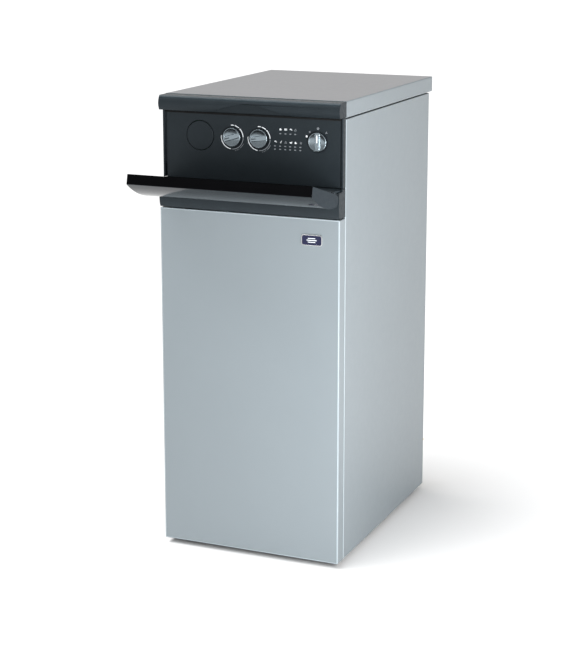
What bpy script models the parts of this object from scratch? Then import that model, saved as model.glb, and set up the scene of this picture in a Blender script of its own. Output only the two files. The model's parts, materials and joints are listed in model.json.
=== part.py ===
"""A narrow floor-standing gas boiler with an atmospheric burner, in metres.

The origin is on the floor under the middle of the casing: +X is to the right, +Y to the back, +Z up.
"""

import math

import bmesh
import bpy
from mathutils import Matrix, Vector

# ---- driving dimensions -----------------------------------------------------------------------
WIDTH = 0.350
HEIGHT = 0.850
FRONT = -0.240
BACK = 0.240
COVER_BACK = 0.260
BOTTOM = 0.010
GAP = 0.0003
SHEET = 0.0012

HALF = WIDTH / 2
INNER = HALF - SHEET

SIDE_FRONT = -0.2115
SIDE_TOP = 0.8190
FLANGE = 0.020
REAR_FLANGE = 0.014

COVER_FRONT = -0.210
COVER_LOW = 0.821

PANEL_TOP = 0.645
PANEL_SIDE_BACK = -0.213
PANEL_LIP = 0.012
STUD_X = 0.163
STUD_HEIGHTS = (0.080, 0.600)

RAIL_LOW = 0.647
RAIL_WALL = 0.0025
FASCIA_LOW = 0.699
FASCIA_HIGH = 0.8219
FASCIA_FRONT = -0.225
FASCIA_BACK = -0.2125
FACE_FRONT = -0.2215
FACE_BACK = -0.2185
RIM_INNER = 0.1718
GROOVE_INNER = 0.1692
GROOVE_DEPTH = 0.0015

BAR_LOW = 0.8225
BAR_HIGH = 0.849
BAR_BACK = -0.2103

HINGE_Y = -0.231
HINGE_Z = 0.6825
NOSE_RADIUS = 0.0153
CHEEK = 0.003
FLAP_WALL = 0.0025
BLADE_OUTER = 0.1716
BLADE_INNER = 0.1694
SLOT_TOP = 0.7225

DIAL_Z = 0.7778
HEATING_X = -0.0386
HOT_WATER_X = 0.0137
MODE_X = 0.1259
DISC_X = -0.1019
DISC_RADIUS = 0.0275
DISC_GROOVE = 0.0012
KNOB_RADIUS = 0.0171
KNOB_BACK = -0.2202
KNOB_FRONT = -0.2262
WELL_RADIUS = 0.019
SHAFT_RADIUS = 0.003
BOARD_FRONT = -0.2052
BOX_HALF = 0.150
GLAND_X = 0.120
GLAND_Z = 0.640

BLOCK_HALF = 0.135
BLOCK_LOW = 0.300
BLOCK_HIGH = 0.680
SECTION_PITCH = 0.100
SECTION_DEPTH = 0.095
PORT_RADIUS = 0.025
RETURN_Z = 0.345
FLOW_Z = 0.610
LUG_X = 0.1425
LUG_Z = 0.490
CHANNEL_DEPTH = 0.022
CHANNEL_HALF = 0.114
SPINE_HALF = 0.036
WATER_HALF = 0.112
WATER_DEPTH = 0.036

BURNER_PITCH = 0.075
BURNER_LOW = 0.135
BURNER_HIGH = 0.185
INLET_Z = 0.152
MANIFOLD_Y = -0.190
RISER_X = 0.0375
VALVE_LOW, VALVE_HIGH = 0.058, 0.112
VALVE_LEFT, VALVE_RIGHT = -0.010, 0.085
GAS_X = 0.1485
GAS_Z = 0.088
CHAMBER_FRONT = -0.1470
PLATE_BACK = CHAMBER_FRONT - GAP
PLATE_FRONT = PLATE_BACK - 0.0025
ELECTRODE_Z = 0.1935
SIGHT_X = 0.103
SIGHT_Z = 0.166
SIGHT_PIVOT_Z = 0.186

FLUE_Z = 0.728
FLUE_RADIUS = 0.065
FLUE_END = 0.3668
COLLECTOR_BACK = 0.1645
HOOD_BACK = 0.2330
STAT_Y = 0.200
STAT_Z = 0.690

DRAIN_X = -0.100
DRAIN_Z = 0.345
DRAIN_STEM_Y = -0.172

FOOT_X = 0.145
FOOT_Y = 0.185

# ---- materials: base colour, metallic, roughness ----------------------------------------------
FINISHES = {
    "casing_paint": ((0.43, 0.53, 0.58), 0.0, 0.45),
    "cover_paint": ((0.40, 0.40, 0.41), 0.0, 0.45),
    "panel_plastic": ((0.028, 0.034, 0.040), 0.0, 0.40),
    "smoked_plastic": ((0.045, 0.052, 0.060), 0.0, 0.12),
    "knob_silver": ((0.55, 0.57, 0.59), 0.6, 0.35),
    "badge_enamel": ((0.05, 0.06, 0.14), 0.0, 0.25),
    "galvanised_steel": ((0.50, 0.51, 0.52), 0.9, 0.40),
    "cast_iron": ((0.07, 0.07, 0.075), 0.3, 0.75),
    "stainless_steel": ((0.56, 0.55, 0.53), 1.0, 0.30),
    "aluminium": ((0.60, 0.61, 0.62), 1.0, 0.40),
    "brass": ((0.65, 0.50, 0.22), 1.0, 0.30),
    "gas_pipe_paint": ((0.70, 0.55, 0.05), 0.0, 0.45),
    "black_plastic": ((0.02, 0.02, 0.02), 0.0, 0.50),
    "board_green": ((0.03, 0.16, 0.07), 0.0, 0.50),
    "ceramic": ((0.80, 0.78, 0.72), 0.0, 0.35),
    "insulation": ((0.55, 0.52, 0.42), 0.0, 0.90),
    "red_plastic": ((0.55, 0.03, 0.02), 0.0, 0.40),
}

ROUND = 20
SMALL_ROUND = 12
SHARP_ANGLE = math.radians(35)
BEYOND = 0.01


def fresh_collection(name, rendered):
    made = bpy.data.collections.new(name)
    made.hide_render = not rendered
    bpy.context.scene.collection.children.link(made)
    return made


for old in list(bpy.data.objects):
    bpy.data.objects.remove(old, do_unlink=True)
PARTS = fresh_collection("boiler", True)
CUTTERS = fresh_collection("cutters", False)


def finish_material(finish):
    """The Principled material of one finish, made on first use."""
    if finish in bpy.data.materials:
        return bpy.data.materials[finish]
    colour, metallic, roughness = FINISHES[finish]
    material = bpy.data.materials.new(finish)
    material.use_nodes = True
    shader = material.node_tree.nodes["Principled BSDF"]
    shader.inputs["Base Color"].default_value = (*colour, 1.0)
    shader.inputs["Metallic"].default_value = metallic
    shader.inputs["Roughness"].default_value = roughness
    return material


# ---- meshes -----------------------------------------------------------------------------------
def mesh_of(bm, smooth=True):
    """The mesh of a bmesh, shaded smooth, or smooth only on the faces that aren't square to an axis."""
    mesh = bpy.data.meshes.new("mesh")
    bm.to_mesh(mesh)
    bm.free()
    mesh.shade_smooth()
    mesh.set_sharp_from_angle(angle=SHARP_ANGLE)
    if not smooth:
        for face in mesh.polygons:
            face.use_smooth = max(abs(value) for value in face.normal) < 0.999
    return mesh


def box(low, high, radius=0.0, rounded=None, segments=3):
    """A box. The edges for which rounded(middle, direction) is true get the radius."""
    low, high = Vector(low), Vector(high)
    bm = bmesh.new()
    bmesh.ops.create_cube(bm, size=1.0)
    for vert in bm.verts:
        vert.co = Vector(low[i] + (vert.co[i] + 0.5) * (high[i] - low[i]) for i in range(3))
    if radius:
        edges = []
        for edge in bm.edges:
            first, second = (vert.co for vert in edge.verts)
            middle = (first + second) / 2 - (low + high) / 2
            if rounded is None or rounded(middle, (second - first).normalized()):
                edges.append(edge)
        bmesh.ops.bevel(
            bm, geom=edges, offset=radius, segments=segments, profile=0.5, affect="EDGES"
        )
    return mesh_of(bm, smooth=False)


def rod(start, end, radius, end_radius=None, segments=ROUND):
    """A cylinder, or a cone, from one point to another."""
    start, end = Vector(start), Vector(end)
    bm = bmesh.new()
    bmesh.ops.create_cone(
        bm,
        cap_ends=True,
        segments=segments,
        radius1=radius,
        radius2=radius if end_radius is None else end_radius,
        depth=(end - start).length,
    )
    turn = Vector((0, 0, 1)).rotation_difference(end - start).to_matrix().to_4x4()
    bm.transform(Matrix.Translation((start + end) / 2) @ turn)
    return mesh_of(bm)


def small_rod(start, end, radius):
    return rod(start, end, radius, segments=SMALL_ROUND)


def welded_mesh(curve, flat):
    """The closed mesh of a curve object, which is removed."""
    bpy.context.view_layer.update()
    graph = bpy.context.evaluated_depsgraph_get()
    mesh = bpy.data.meshes.new_from_object(curve.evaluated_get(graph))
    mesh.transform(curve.matrix_world)
    bpy.data.objects.remove(curve, do_unlink=True)
    bm = bmesh.new()
    bm.from_mesh(mesh)
    bpy.data.meshes.remove(mesh)
    bmesh.ops.remove_doubles(bm, verts=bm.verts, dist=1e-6)
    bmesh.ops.recalc_face_normals(bm, faces=bm.faces)
    return mesh_of(bm, smooth=not flat)


def curve_object(dimensions, points, cyclic):
    data = bpy.data.curves.new("curve", "CURVE")
    data.dimensions = dimensions
    spline = data.splines.new("POLY")
    spline.points.add(len(points) - 1)
    for place, point in zip(spline.points, points):
        place.co = (*point, 1.0)
    spline.use_cyclic_u = cyclic
    made = bpy.data.objects.new("curve", data)
    CUTTERS.objects.link(made)
    return made


def slab(outline, thickness, placed):
    """A flat outline, thickened to both sides and placed by a matrix."""
    made = curve_object("2D", [(u, v, 0) for u, v in outline], True)
    made.data.fill_mode = "BOTH"
    made.data.extrude = thickness / 2
    made.matrix_world = placed
    return welded_mesh(made, flat=True)


def slab_x(outline, low, high):
    """A flat outline of (y, z) points, thick from x = low to x = high."""
    stand = Matrix(((0, 0, 1, 0), (1, 0, 0, 0), (0, 1, 0, 0), (0, 0, 0, 1)))
    return slab(outline, high - low, Matrix.Translation(((low + high) / 2, 0, 0)) @ stand)


def slab_y(outline, low, high):
    """A flat outline of (x, z) points, thick from y = low to y = high."""
    stand = Matrix(((1, 0, 0, 0), (0, 0, -1, 0), (0, 1, 0, 0), (0, 0, 0, 1)))
    return slab(outline, high - low, Matrix.Translation((0, (low + high) / 2, 0)) @ stand)


def pipe(points, radius):
    """A round bar along a line of points."""
    made = curve_object("3D", points, False)
    made.data.bevel_depth = radius
    made.data.bevel_resolution = 2
    made.data.use_fill_caps = True
    return welded_mesh(made, flat=False)


def arc(centre, radius, start, end, steps):
    """Points on a circle, from one angle to another, in degrees."""
    turn = [math.radians(start + (end - start) * i / steps) for i in range(steps + 1)]
    return [(centre[0] + radius * math.cos(a), centre[1] + radius * math.sin(a)) for a in turn]


def arc_through(first, middle, last, steps):
    """Points on the circle through three points, from the first to the last."""
    (ax, ay), (bx, by), (cx, cy) = first, middle, last
    d = 2 * (ax * (by - cy) + bx * (cy - ay) + cx * (ay - by))
    a2, b2, c2 = ax * ax + ay * ay, bx * bx + by * by, cx * cx + cy * cy
    ux = (a2 * (by - cy) + b2 * (cy - ay) + c2 * (ay - by)) / d
    uy = (a2 * (cx - bx) + b2 * (ax - cx) + c2 * (bx - ax)) / d
    angles = [math.degrees(math.atan2(y - uy, x - ux)) for x, y in (first, middle, last)]
    for i in (1, 2):
        while angles[i] - angles[i - 1] > 180:
            angles[i] -= 360
        while angles[i] - angles[i - 1] < -180:
            angles[i] += 360
    return arc((ux, uy), math.hypot(ax - ux, ay - uy), angles[0], angles[2], steps)


# ---- objects ----------------------------------------------------------------------------------
def part(name, finish, mesh, origin=(0, 0, 0)):
    """A named part made of a mesh in world coordinates, with its own origin."""
    mesh.name = name
    mesh.transform(Matrix.Translation(-Vector(origin)))
    made = bpy.data.objects.new(name, mesh)
    made.location = origin
    mesh.materials.append(finish_material(finish))
    PARTS.objects.link(made)
    return made


FACING = {
    "+z": (0, 0, 0),
    "-z": (math.pi, 0, 0),
    "-y": (math.pi / 2, 0, 0),
    "+y": (-math.pi / 2, 0, 0),
    "+x": (0, math.pi / 2, 0),
    "-x": (0, -math.pi / 2, 0),
}


def turned(name, finish, profile, origin, facing="+z", ring=False, steps=ROUND):
    """A turned part: (radius, height) points down its outer side, and back up the bore of a ring."""
    mesh = bpy.data.meshes.new(name)
    last = len(profile) - 1
    edges = [(i, i + 1) for i in range(last)]
    if ring:
        edges.append((last, 0))
    mesh.from_pydata([(r, 0, h) for r, h in profile], edges, [])
    made = bpy.data.objects.new(name, mesh)
    made.location = origin
    made.rotation_euler = FACING[facing]
    screw = made.modifiers.new("Screw", "SCREW")
    screw.steps = steps
    screw.render_steps = steps
    screw.use_merge_vertices = True
    screw.merge_threshold = 1e-5
    mesh.materials.append(finish_material(finish))
    PARTS.objects.link(made)
    return made


def combine(target, operation, mesh, local=False):
    """A Boolean with a helper made of the mesh, in world coordinates or in the target's own."""
    helper = bpy.data.objects.new(f"{target.name}_{operation.lower()}", mesh)
    helper.hide_render = True
    helper.display_type = "WIRE"
    CUTTERS.objects.link(helper)
    if local:
        helper.location = target.location
        helper.rotation_euler = target.rotation_euler
    step = target.modifiers.new(operation.title(), "BOOLEAN")
    step.operation = operation
    step.solver = "EXACT"
    step.object = helper


def cut(target, *meshes, local=False):
    for mesh in meshes:
        combine(target, "DIFFERENCE", mesh, local)


def join(target, *meshes, local=False):
    for mesh in meshes:
        combine(target, "UNION", mesh, local)


def along_y(middle, direction):
    return abs(direction.y) > 0.9


def along_z(middle, direction):
    return abs(direction.z) > 0.9


# ---- casing -----------------------------------------------------------------------------------
def base_frame():
    """A pressed tray that the feet screw into."""
    low, high, wall = 0.018, 0.048, 0.002
    half, front, back = INNER - GAP, SIDE_FRONT + SHEET + GAP, BACK - SHEET - GAP
    tray = part(
        "base_frame",
        "galvanised_steel",
        box((-half, front, low), (half, back, high)),
    )
    cut(
        tray,
        box((-half + wall, front + wall, low + wall), (half - wall, back - wall, high + BEYOND)),
    )
    for x in (-FOOT_X, FOOT_X):
        for y in (-FOOT_Y, FOOT_Y):
            cut(tray, small_rod((x, y, low - BEYOND), (x, y, low + BEYOND), 0.0056))
    cut(tray, box((-0.090, -0.110, low - BEYOND), (0.090, 0.110, low + BEYOND)))



def side_panel(name, side):
    """A sheet folded inwards at the front and the back."""
    low, high = sorted((side * (HALF - FLANGE), side * HALF))
    panel = part(
        name,
        "casing_paint",
        box((low, SIDE_FRONT, BOTTOM), (high, BACK, SIDE_TOP)),
    )
    low, high = sorted((side * (HALF - FLANGE - BEYOND), side * INNER))
    cut(
        panel,
        box(
            (low, SIDE_FRONT + SHEET, BOTTOM - BEYOND),
            (high, BACK - SHEET, SIDE_TOP + BEYOND),
        ),
    )
    low, high = sorted((side * (HALF - FLANGE - BEYOND), side * (HALF - REAR_FLANGE)))
    cut(panel, box((low, 0, BOTTOM - BEYOND), (high, BACK + BEYOND, SIDE_TOP + BEYOND)))
    for z in STUD_HEIGHTS:
        x = side * STUD_X
        cut(panel, small_rod((x, SIDE_FRONT - BEYOND, z), (x, SIDE_FRONT + BEYOND, z), 0.0046))


def rear_panel():
    """The back sheet, with openings for the flue, the water pipes, the gas pipe and the cable."""
    back = BACK - SHEET - 0.0004
    panel = part(
        "rear_panel",
        "galvanised_steel",
        box((-0.1725, back - SHEET, 0.0485), (0.1725, back, SIDE_TOP)),
    )
    holes = (
        (0, FLUE_Z, FLUE_RADIUS + 0.002, 32),
        (0, FLOW_Z, 0.020, ROUND),
        (0, RETURN_Z, 0.020, ROUND),
        (GAS_X, GAS_Z, 0.013, ROUND),
        (GLAND_X, GLAND_Z, 0.0085, SMALL_ROUND),
    )
    for x, z, radius, segments in holes:
        cut(panel, rod((x, back - BEYOND, z), (x, back + BEYOND, z), radius, segments=segments))
    for i in range(6):
        z = 0.110 + 0.020 * i
        cut(panel, box((-0.100, back - BEYOND, z), (0.060, back + BEYOND, z + 0.006)))


def top_cover():
    cover = part(
        "top_cover",
        "cover_paint",
        box(
            (-HALF, COVER_FRONT, COVER_LOW),
            (HALF, COVER_BACK, HEIGHT),
            0.0025,
            lambda middle, direction: (middle.z > 0.01 and middle.y > -0.2)
            or (abs(direction.z) > 0.9 and middle.y > 0),
        ),
    )
    cut(
        cover,
        box(
            (-INNER, COVER_FRONT + SHEET, COVER_LOW - BEYOND),
            (INNER, COVER_BACK - SHEET, HEIGHT - SHEET),
        ),
    )
    cut(
        cover,
        box(
            (-INNER + 0.004, COVER_FRONT - BEYOND, COVER_LOW - BEYOND),
            (INNER - 0.004, COVER_FRONT + BEYOND, HEIGHT - 0.010),
        ),
    )


def front_panel():
    """The pull-off front: a shallow pan whose studs press into the side panels' front flanges."""
    pan = part(
        "front_panel",
        "casing_paint",
        box(
            (-HALF, FRONT, BOTTOM),
            (HALF, PANEL_SIDE_BACK, PANEL_TOP),
            0.002,
            lambda middle, direction: middle.y < -0.01,
        ),
    )
    cut(
        pan,
        box((-INNER, FRONT + SHEET, BOTTOM + SHEET), (INNER, 0, PANEL_TOP - SHEET)),
        box(
            (-INNER, FRONT + PANEL_LIP, BOTTOM - BEYOND),
            (INNER, 0, PANEL_TOP + BEYOND),
        ),
    )
    for x in (-STUD_X, STUD_X):
        for z in STUD_HEIGHTS:
            join(pan, small_rod((x, FRONT + SHEET / 2, z), (x, -0.204, z), 0.004))


def badge():
    """A plain enamel plate at the panel's upper right."""
    centre_x, centre_z, width, height, thick = 0.1230, 0.6065, 0.040, 0.020, 0.0016
    back = FRONT - GAP
    part(
        "badge",
        "badge_enamel",
        box(
            (centre_x - width / 2, back - thick, centre_z - height / 2),
            (centre_x + width / 2, back, centre_z + height / 2),
            0.0045,
            along_y,
            4,
        ),
    )


def levelling_foot(name, x, y):
    """A pad on a threaded stud through the tray."""
    profile = [
        (0, 0.055),
        (0.0045, 0.055),
        (0.005, 0.0545),
        (0.005, 0.0175),
        (0.009, 0.0175),
        (0.009, 0.0125),
        (0.018, 0.0105),
        (0.020, 0.0085),
        (0.020, 0.0),
        (0, 0.0),
    ]
    turned(name, "black_plastic", profile, (x, y, 0), steps=SMALL_ROUND)


# ---- control panel ----------------------------------------------------------------------------
def top_bar():
    """The bowed bar over the dials, with a finger scoop in its lower edge."""
    front_arc = arc_through((-0.2382, 0.8478), (-0.2428, 0.8335), (-0.2392, BAR_LOW), 6)
    outline = [(BAR_BACK, BAR_LOW), (BAR_BACK, BAR_HIGH), (-0.2370, BAR_HIGH), *front_arc]
    bar = part("top_bar", "panel_plastic", slab_x(outline, -HALF, HALF))
    half_width, rise, roundness = 0.085, 0.0172, 1.6
    steps = 24
    bell = []
    for i in range(steps + 1):
        x = -half_width + 2 * half_width * i / steps
        share = max(0.0, math.cos(math.pi * x / (2 * half_width)))
        bell.append((x, BAR_LOW + rise * share**roundness))
    scoop = [(-half_width, BAR_LOW - BEYOND), *bell, (half_width, BAR_LOW - BEYOND)]
    cut(
        bar,
        slab_y(scoop, -0.260, -0.2275),
        box((-0.165, -0.2240, BAR_LOW + 0.003), (0.165, 0, BAR_HIGH - 0.003)),
    )


def fascia():
    """The moulded face behind the flap, with wells for the knobs and slots for the hinge blades."""
    face = part(
        "fascia",
        "panel_plastic",
        box((-HALF, FASCIA_FRONT, FASCIA_LOW), (HALF, FASCIA_BACK, FASCIA_HIGH)),
    )
    hollow = 0.1665
    cut(
        face,
        box(
            (-RIM_INNER, FASCIA_FRONT - BEYOND, FASCIA_LOW - BEYOND),
            (RIM_INNER, FACE_FRONT, FASCIA_HIGH + BEYOND),
        ),
        box(
            (-hollow, FACE_BACK, FASCIA_LOW + 0.003),
            (hollow, FASCIA_BACK + BEYOND, FASCIA_HIGH - 0.003),
        ),
        rod((DISC_X, -0.24, DIAL_Z), (DISC_X, -0.20, DIAL_Z), DISC_RADIUS, segments=40),
    )
    for side in (-1, 1):
        low, high = sorted((side * GROOVE_INNER, side * RIM_INNER))
        cut(
            face,
            box(
                (low, FACE_FRONT - BEYOND, FASCIA_LOW - BEYOND),
                (high, FACE_FRONT + GROOVE_DEPTH, FASCIA_HIGH + BEYOND),
            ),
            box((low, FACE_FRONT, FASCIA_LOW - BEYOND), (high, FASCIA_BACK + BEYOND, SLOT_TOP)),
        )
    for x in (HEATING_X, HOT_WATER_X, MODE_X):
        cut(
            face,
            rod((x, -0.24, DIAL_Z), (x, KNOB_BACK + 0.0004, DIAL_Z), WELL_RADIUS, segments=32),
            small_rod((x, -0.24, DIAL_Z), (x, -0.20, DIAL_Z), 0.0036),
        )


def bottom_rail():
    """The rail under the fascia: its top is a nose around the hinge axis, and hollow at the back."""
    nose = arc((HINGE_Y, HINGE_Z), NOSE_RADIUS, 146, 90, 6)
    outline = [
        (FASCIA_BACK, RAIL_LOW),
        (-0.2400, RAIL_LOW),
        (-0.2425, 0.6530),
        (-0.2436, 0.6630),
        *nose,
        (FASCIA_BACK, HINGE_Z + NOSE_RADIUS),
    ]
    rail = part("bottom_rail", "panel_plastic", slab_x(outline, -HALF, HALF))
    inside = [
        (FASCIA_BACK + BEYOND, RAIL_LOW + RAIL_WALL),
        (-0.2375, RAIL_LOW + RAIL_WALL),
        (-0.2405, 0.6630),
        *arc((HINGE_Y, HINGE_Z), NOSE_RADIUS - RAIL_WALL, 138, 90, 5),
        (FASCIA_BACK + BEYOND, HINGE_Z + NOSE_RADIUS - RAIL_WALL),
    ]
    cut(rail, slab_x(inside, -HALF + RAIL_WALL, HALF - RAIL_WALL))
    for side in (-1, 1):
        low, high = sorted((side * GROOVE_INNER, side * RIM_INNER))
        cut(rail, box((low, -0.260, 0.6905), (high, FASCIA_BACK + BEYOND, 0.710)))
        low, high = sorted((side * GROOVE_INNER, side * (HALF + BEYOND)))
        cut(rail, box((low, -0.260, 0.6935), (high, -0.2265, 0.710)))


def flap_outline():
    """(y, z) points of the open flap's section, from its front top edge round to its back lip."""
    belly = arc_through((-0.3668, 0.7058), (-0.3210, 0.6817), (-0.2740, 0.6716), 8)
    heel = arc_through((-0.2550, 0.6716), (-0.2492, 0.6765), (-0.2468, 0.6880), 4)
    return [(-0.3627, 0.7237), *belly, *heel]


def inset(outline, distance):
    """The points of an open outline, each moved to its right by the distance."""
    moved = []
    for i, (y, z) in enumerate(outline):
        before = outline[max(i - 1, 0)]
        after = outline[min(i + 1, len(outline) - 1)]
        sides = []
        for (ay, az), (by, bz) in ((before, (y, z)), ((y, z), after)):
            length = math.hypot(by - ay, bz - az)
            if length > 0:
                sides.append((-(bz - az) / length, (by - ay) / length))
        normal = [sum(side[k] for side in sides) / len(sides) for k in (0, 1)]
        size = normal[0] ** 2 + normal[1] ** 2
        moved.append((y + distance * normal[0] / size, z + distance * normal[1] / size))
    return moved


def flap():
    """The smoked cover, let down on its stop: a tray between two cheeks with hinge blades."""
    outer = flap_outline()
    tip, lip = outer[0], outer[-1]
    cheek_top = [(-0.2510, 0.6906), (-0.2670, 0.6968)]
    origin = (0, HINGE_Y, HINGE_Z)
    cover = part("flap", "smoked_plastic", slab_x([*outer, *cheek_top], -HALF, HALF), origin)
    inner = inset(outer, FLAP_WALL)
    above = [(lip[0] - 0.001, lip[1] + 0.06), (tip[0], tip[1] + 0.06)]
    cut(cover, slab_x([*inner, *above], -HALF + CHEEK, HALF - CHEEK))
    blade = [
        (-0.2680, 0.6998),
        (-0.2670, 0.6950),
        (-0.2380, 0.6937),
        (-0.2362, 0.6900),
        *arc((HINGE_Y, HINGE_Z), 0.005, 180, 360, 8),
        (-0.2262, 0.6950),
        (-0.2270, 0.6965),
    ]
    root = [(-0.2675, 0.6979), (-0.2690, 0.6930), (-0.2520, 0.6890), (-0.2500, 0.6929)]
    for side in (-1, 1):
        low, high = sorted((side * BLADE_INNER, side * BLADE_OUTER))
        root_low, root_high = sorted((side * (BLADE_INNER + 0.0004), side * (HALF - 0.0004)))
        join(cover, slab_x(root, root_low, root_high), slab_x(blade, low, high))
        eye_start, eye_end = (low - BEYOND, HINGE_Y, HINGE_Z), (high + BEYOND, HINGE_Y, HINGE_Z)
        cut(cover, small_rod(eye_start, eye_end, 0.0024))


def hinge_pin(name, side):
    """A headed pin through the hinge blade, its head on the inside."""
    profile = [
        (0, 0.0),
        (0.0020, 0.0),
        (0.0020, -0.0032),
        (0.0036, -0.0032),
        (0.0036, -0.0047),
        (0, -0.0047),
    ]
    origin = (side * (HALF - RAIL_WALL - GAP), HINGE_Y, HINGE_Z)
    turned(name, "stainless_steel", profile, origin, "+x" if side > 0 else "-x", steps=SMALL_ROUND)


def knob(name, x, tilt):
    """A dished knob with a grip bar across it, and its shaft."""
    rim = 0.0155
    height = KNOB_BACK - KNOB_FRONT
    floor = height - 0.0030
    shaft = KNOB_BACK - (BOARD_FRONT - 0.0015)
    profile = [
        (0, floor),
        (rim - 0.003, floor),
        (rim, height),
        (KNOB_RADIUS - 0.0006, height),
        (KNOB_RADIUS, height - 0.0006),
        (KNOB_RADIUS, 0.0),
        (SHAFT_RADIUS, 0.0),
        (SHAFT_RADIUS, shaft),
        (0, shaft),
    ]
    made = turned(name, "knob_silver", profile, (x, KNOB_BACK, DIAL_Z), "-y", steps=32)
    bar = box((-rim - 0.0006, -0.0032, floor - 0.001), (rim + 0.0006, 0.0032, height - 0.0002))
    bar.transform(Matrix.Rotation(math.radians(tilt), 4, "Z"))
    join(made, bar, local=True)


def dial_encoder(name, x):
    """The potentiometer or switch behind a knob, on the circuit board."""
    half, back = 0.008, BOARD_FRONT - GAP
    body = part(
        name,
        "black_plastic",
        box((x - half, back - 0.009, DIAL_Z - half), (x + half, back, DIAL_Z + half)),
    )
    join(body, small_rod((x, back - 0.011, DIAL_Z), (x, back - 0.008, DIAL_Z), 0.0055))
    cut(body, small_rod((x, -0.22, DIAL_Z), (x, back - 0.0006, DIAL_Z), 0.0034))


def blanking_disc():
    """The plug in the opening meant for a gauge."""
    radius = DISC_RADIUS - DISC_GROOVE
    profile = [
        (0, 0.0005),
        (radius - 0.0006, 0.0005),
        (radius, 0.0),
        (radius, -0.0032),
        (radius - 0.002, -0.0032),
        (radius - 0.002, -0.0018),
        (0, -0.0018),
    ]
    origin = (DISC_X, FACE_FRONT, DIAL_Z)
    turned("gauge_blanking_disc", "panel_plastic", profile, origin, "-y", steps=40)



def control_box():
    """The steel tray behind the fascia, open to the front."""
    low, high, front, back = 0.7035, 0.8175, -0.2115, -0.112
    tray = part(
        "control_box",
        "galvanised_steel",
        box((-BOX_HALF, front, low), (BOX_HALF, back, high)),
    )
    cut(
        tray,
        box(
            (-BOX_HALF + SHEET, front - BEYOND, low + SHEET),
            (BOX_HALF - SHEET, back - SHEET, high - SHEET),
        ),
        small_rod((0.120, back - BEYOND, 0.735), (0.120, back + BEYOND, 0.735), 0.009),
    )


def circuit_board():
    thick = 0.0016
    board = part(
        "circuit_board",
        "board_green",
        box((-0.145, BOARD_FRONT, 0.7060), (0.145, BOARD_FRONT + thick, 0.8150)),
    )
    components = (
        (-0.110, 0.720, 0.050, 0.030, 0.030),
        (-0.040, 0.716, 0.030, 0.034, 0.034),
        (0.020, 0.720, 0.016, 0.020, 0.016),
        (0.050, 0.716, 0.060, 0.012, 0.012),
        (-0.020, 0.770, 0.026, 0.026, 0.005),
    )
    for x, z, width, height, depth in components:
        back = BOARD_FRONT + thick
        join(board, box((x, back - 0.0005, z), (x + width, back + depth, z + height)))



def cable_gland():
    """The strain relief for the mains lead, in the rear panel."""
    profile = [
        (0.0075, 0.020),
        (0.0100, 0.017),
        (0.0125, 0.014),
        (0.0125, 0.003),
        (0.0080, 0.003),
        (0.0080, -0.012),
        (0.0045, -0.012),
        (0.0045, 0.020),
    ]
    origin = (GLAND_X, BACK - SHEET + 0.0005 - 0.003, GLAND_Z)
    turned("cable_gland", "black_plastic", profile, origin, "+y", True, SMALL_ROUND)


# ---- heat exchanger ---------------------------------------------------------------------------


def section(name, index):
    """A cast water section: gas channels each side of a spine, water inside, ports through the spine."""
    middle = (index - 1) * SECTION_PITCH
    low, high = middle - SECTION_DEPTH / 2, middle + SECTION_DEPTH / 2
    cast = part(
        name,
        "cast_iron",
        box((-BLOCK_HALF, low, BLOCK_LOW), (BLOCK_HALF, high, BLOCK_HIGH), 0.008, along_y, 2),
    )
    channels = [(low - BEYOND, low + CHANNEL_DEPTH), (high - CHANNEL_DEPTH, high + BEYOND)]
    if index == 0:
        channels = channels[1:]
    if index == 2:
        channels = channels[:1]
    for front, back in channels:
        for side in (-1, 1):
            near, far = sorted((side * SPINE_HALF, side * CHANNEL_HALF))
            low_corner = (near, front, BLOCK_LOW - BEYOND)
            cut(cast, box(low_corner, (far, back, BLOCK_HIGH + BEYOND)))
    cut(
        cast,
        box(
            (-WATER_HALF, middle - WATER_DEPTH / 2, BLOCK_LOW + 0.012),
            (WATER_HALF, middle + WATER_DEPTH / 2, BLOCK_HIGH - 0.012),
        ),
    )
    for z in (RETURN_Z, FLOW_Z):
        start = middle if index == 0 else low - BEYOND
        cut(cast, rod((0, start, z), (0, high + BEYOND, z), PORT_RADIUS, segments=ROUND))
    if index != 1:
        lug_low, lug_high = (low, low + 0.014) if index == 0 else (high - 0.014, high)
        for side in (-1, 1):
            x = side * LUG_X
            near, far = sorted((side * (BLOCK_HALF - 0.005), side * (LUG_X + 0.0085)))
            join(cast, box((near, lug_low, LUG_Z - 0.015), (far, lug_high, LUG_Z + 0.015)))
            cut(cast, small_rod((x, lug_low - BEYOND, LUG_Z), (x, lug_high + BEYOND, LUG_Z), 0.0056))
    if index == 0:
        cut(cast, small_rod((DRAIN_X, low - BEYOND, DRAIN_Z), (DRAIN_X, middle, DRAIN_Z), 0.0095))


def nipple(name, index, z):
    """A ring that joins the ports of two sections."""
    outer, inner, half = PORT_RADIUS - 0.0006, 0.0205, 0.016
    profile = [(outer, half), (outer, -half), (inner, -half), (inner, half)]
    y = (index - 0.5) * SECTION_PITCH
    turned(name, "stainless_steel", profile, (0, y, z), "+y", True, 16)


def tie_rod(name, side):
    """A threaded rod with a nut at each end, which clamps the sections."""
    face = SECTION_PITCH + SECTION_DEPTH / 2 + GAP
    x = side * LUG_X
    made = part(name, "galvanised_steel", rod((x, -0.158, LUG_Z), (x, 0.158, LUG_Z), 0.005, segments=12))
    for end in (-1, 1):
        join(made, rod((x, end * face, LUG_Z), (x, end * (face + 0.007), LUG_Z), 0.0082, segments=6))


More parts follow.
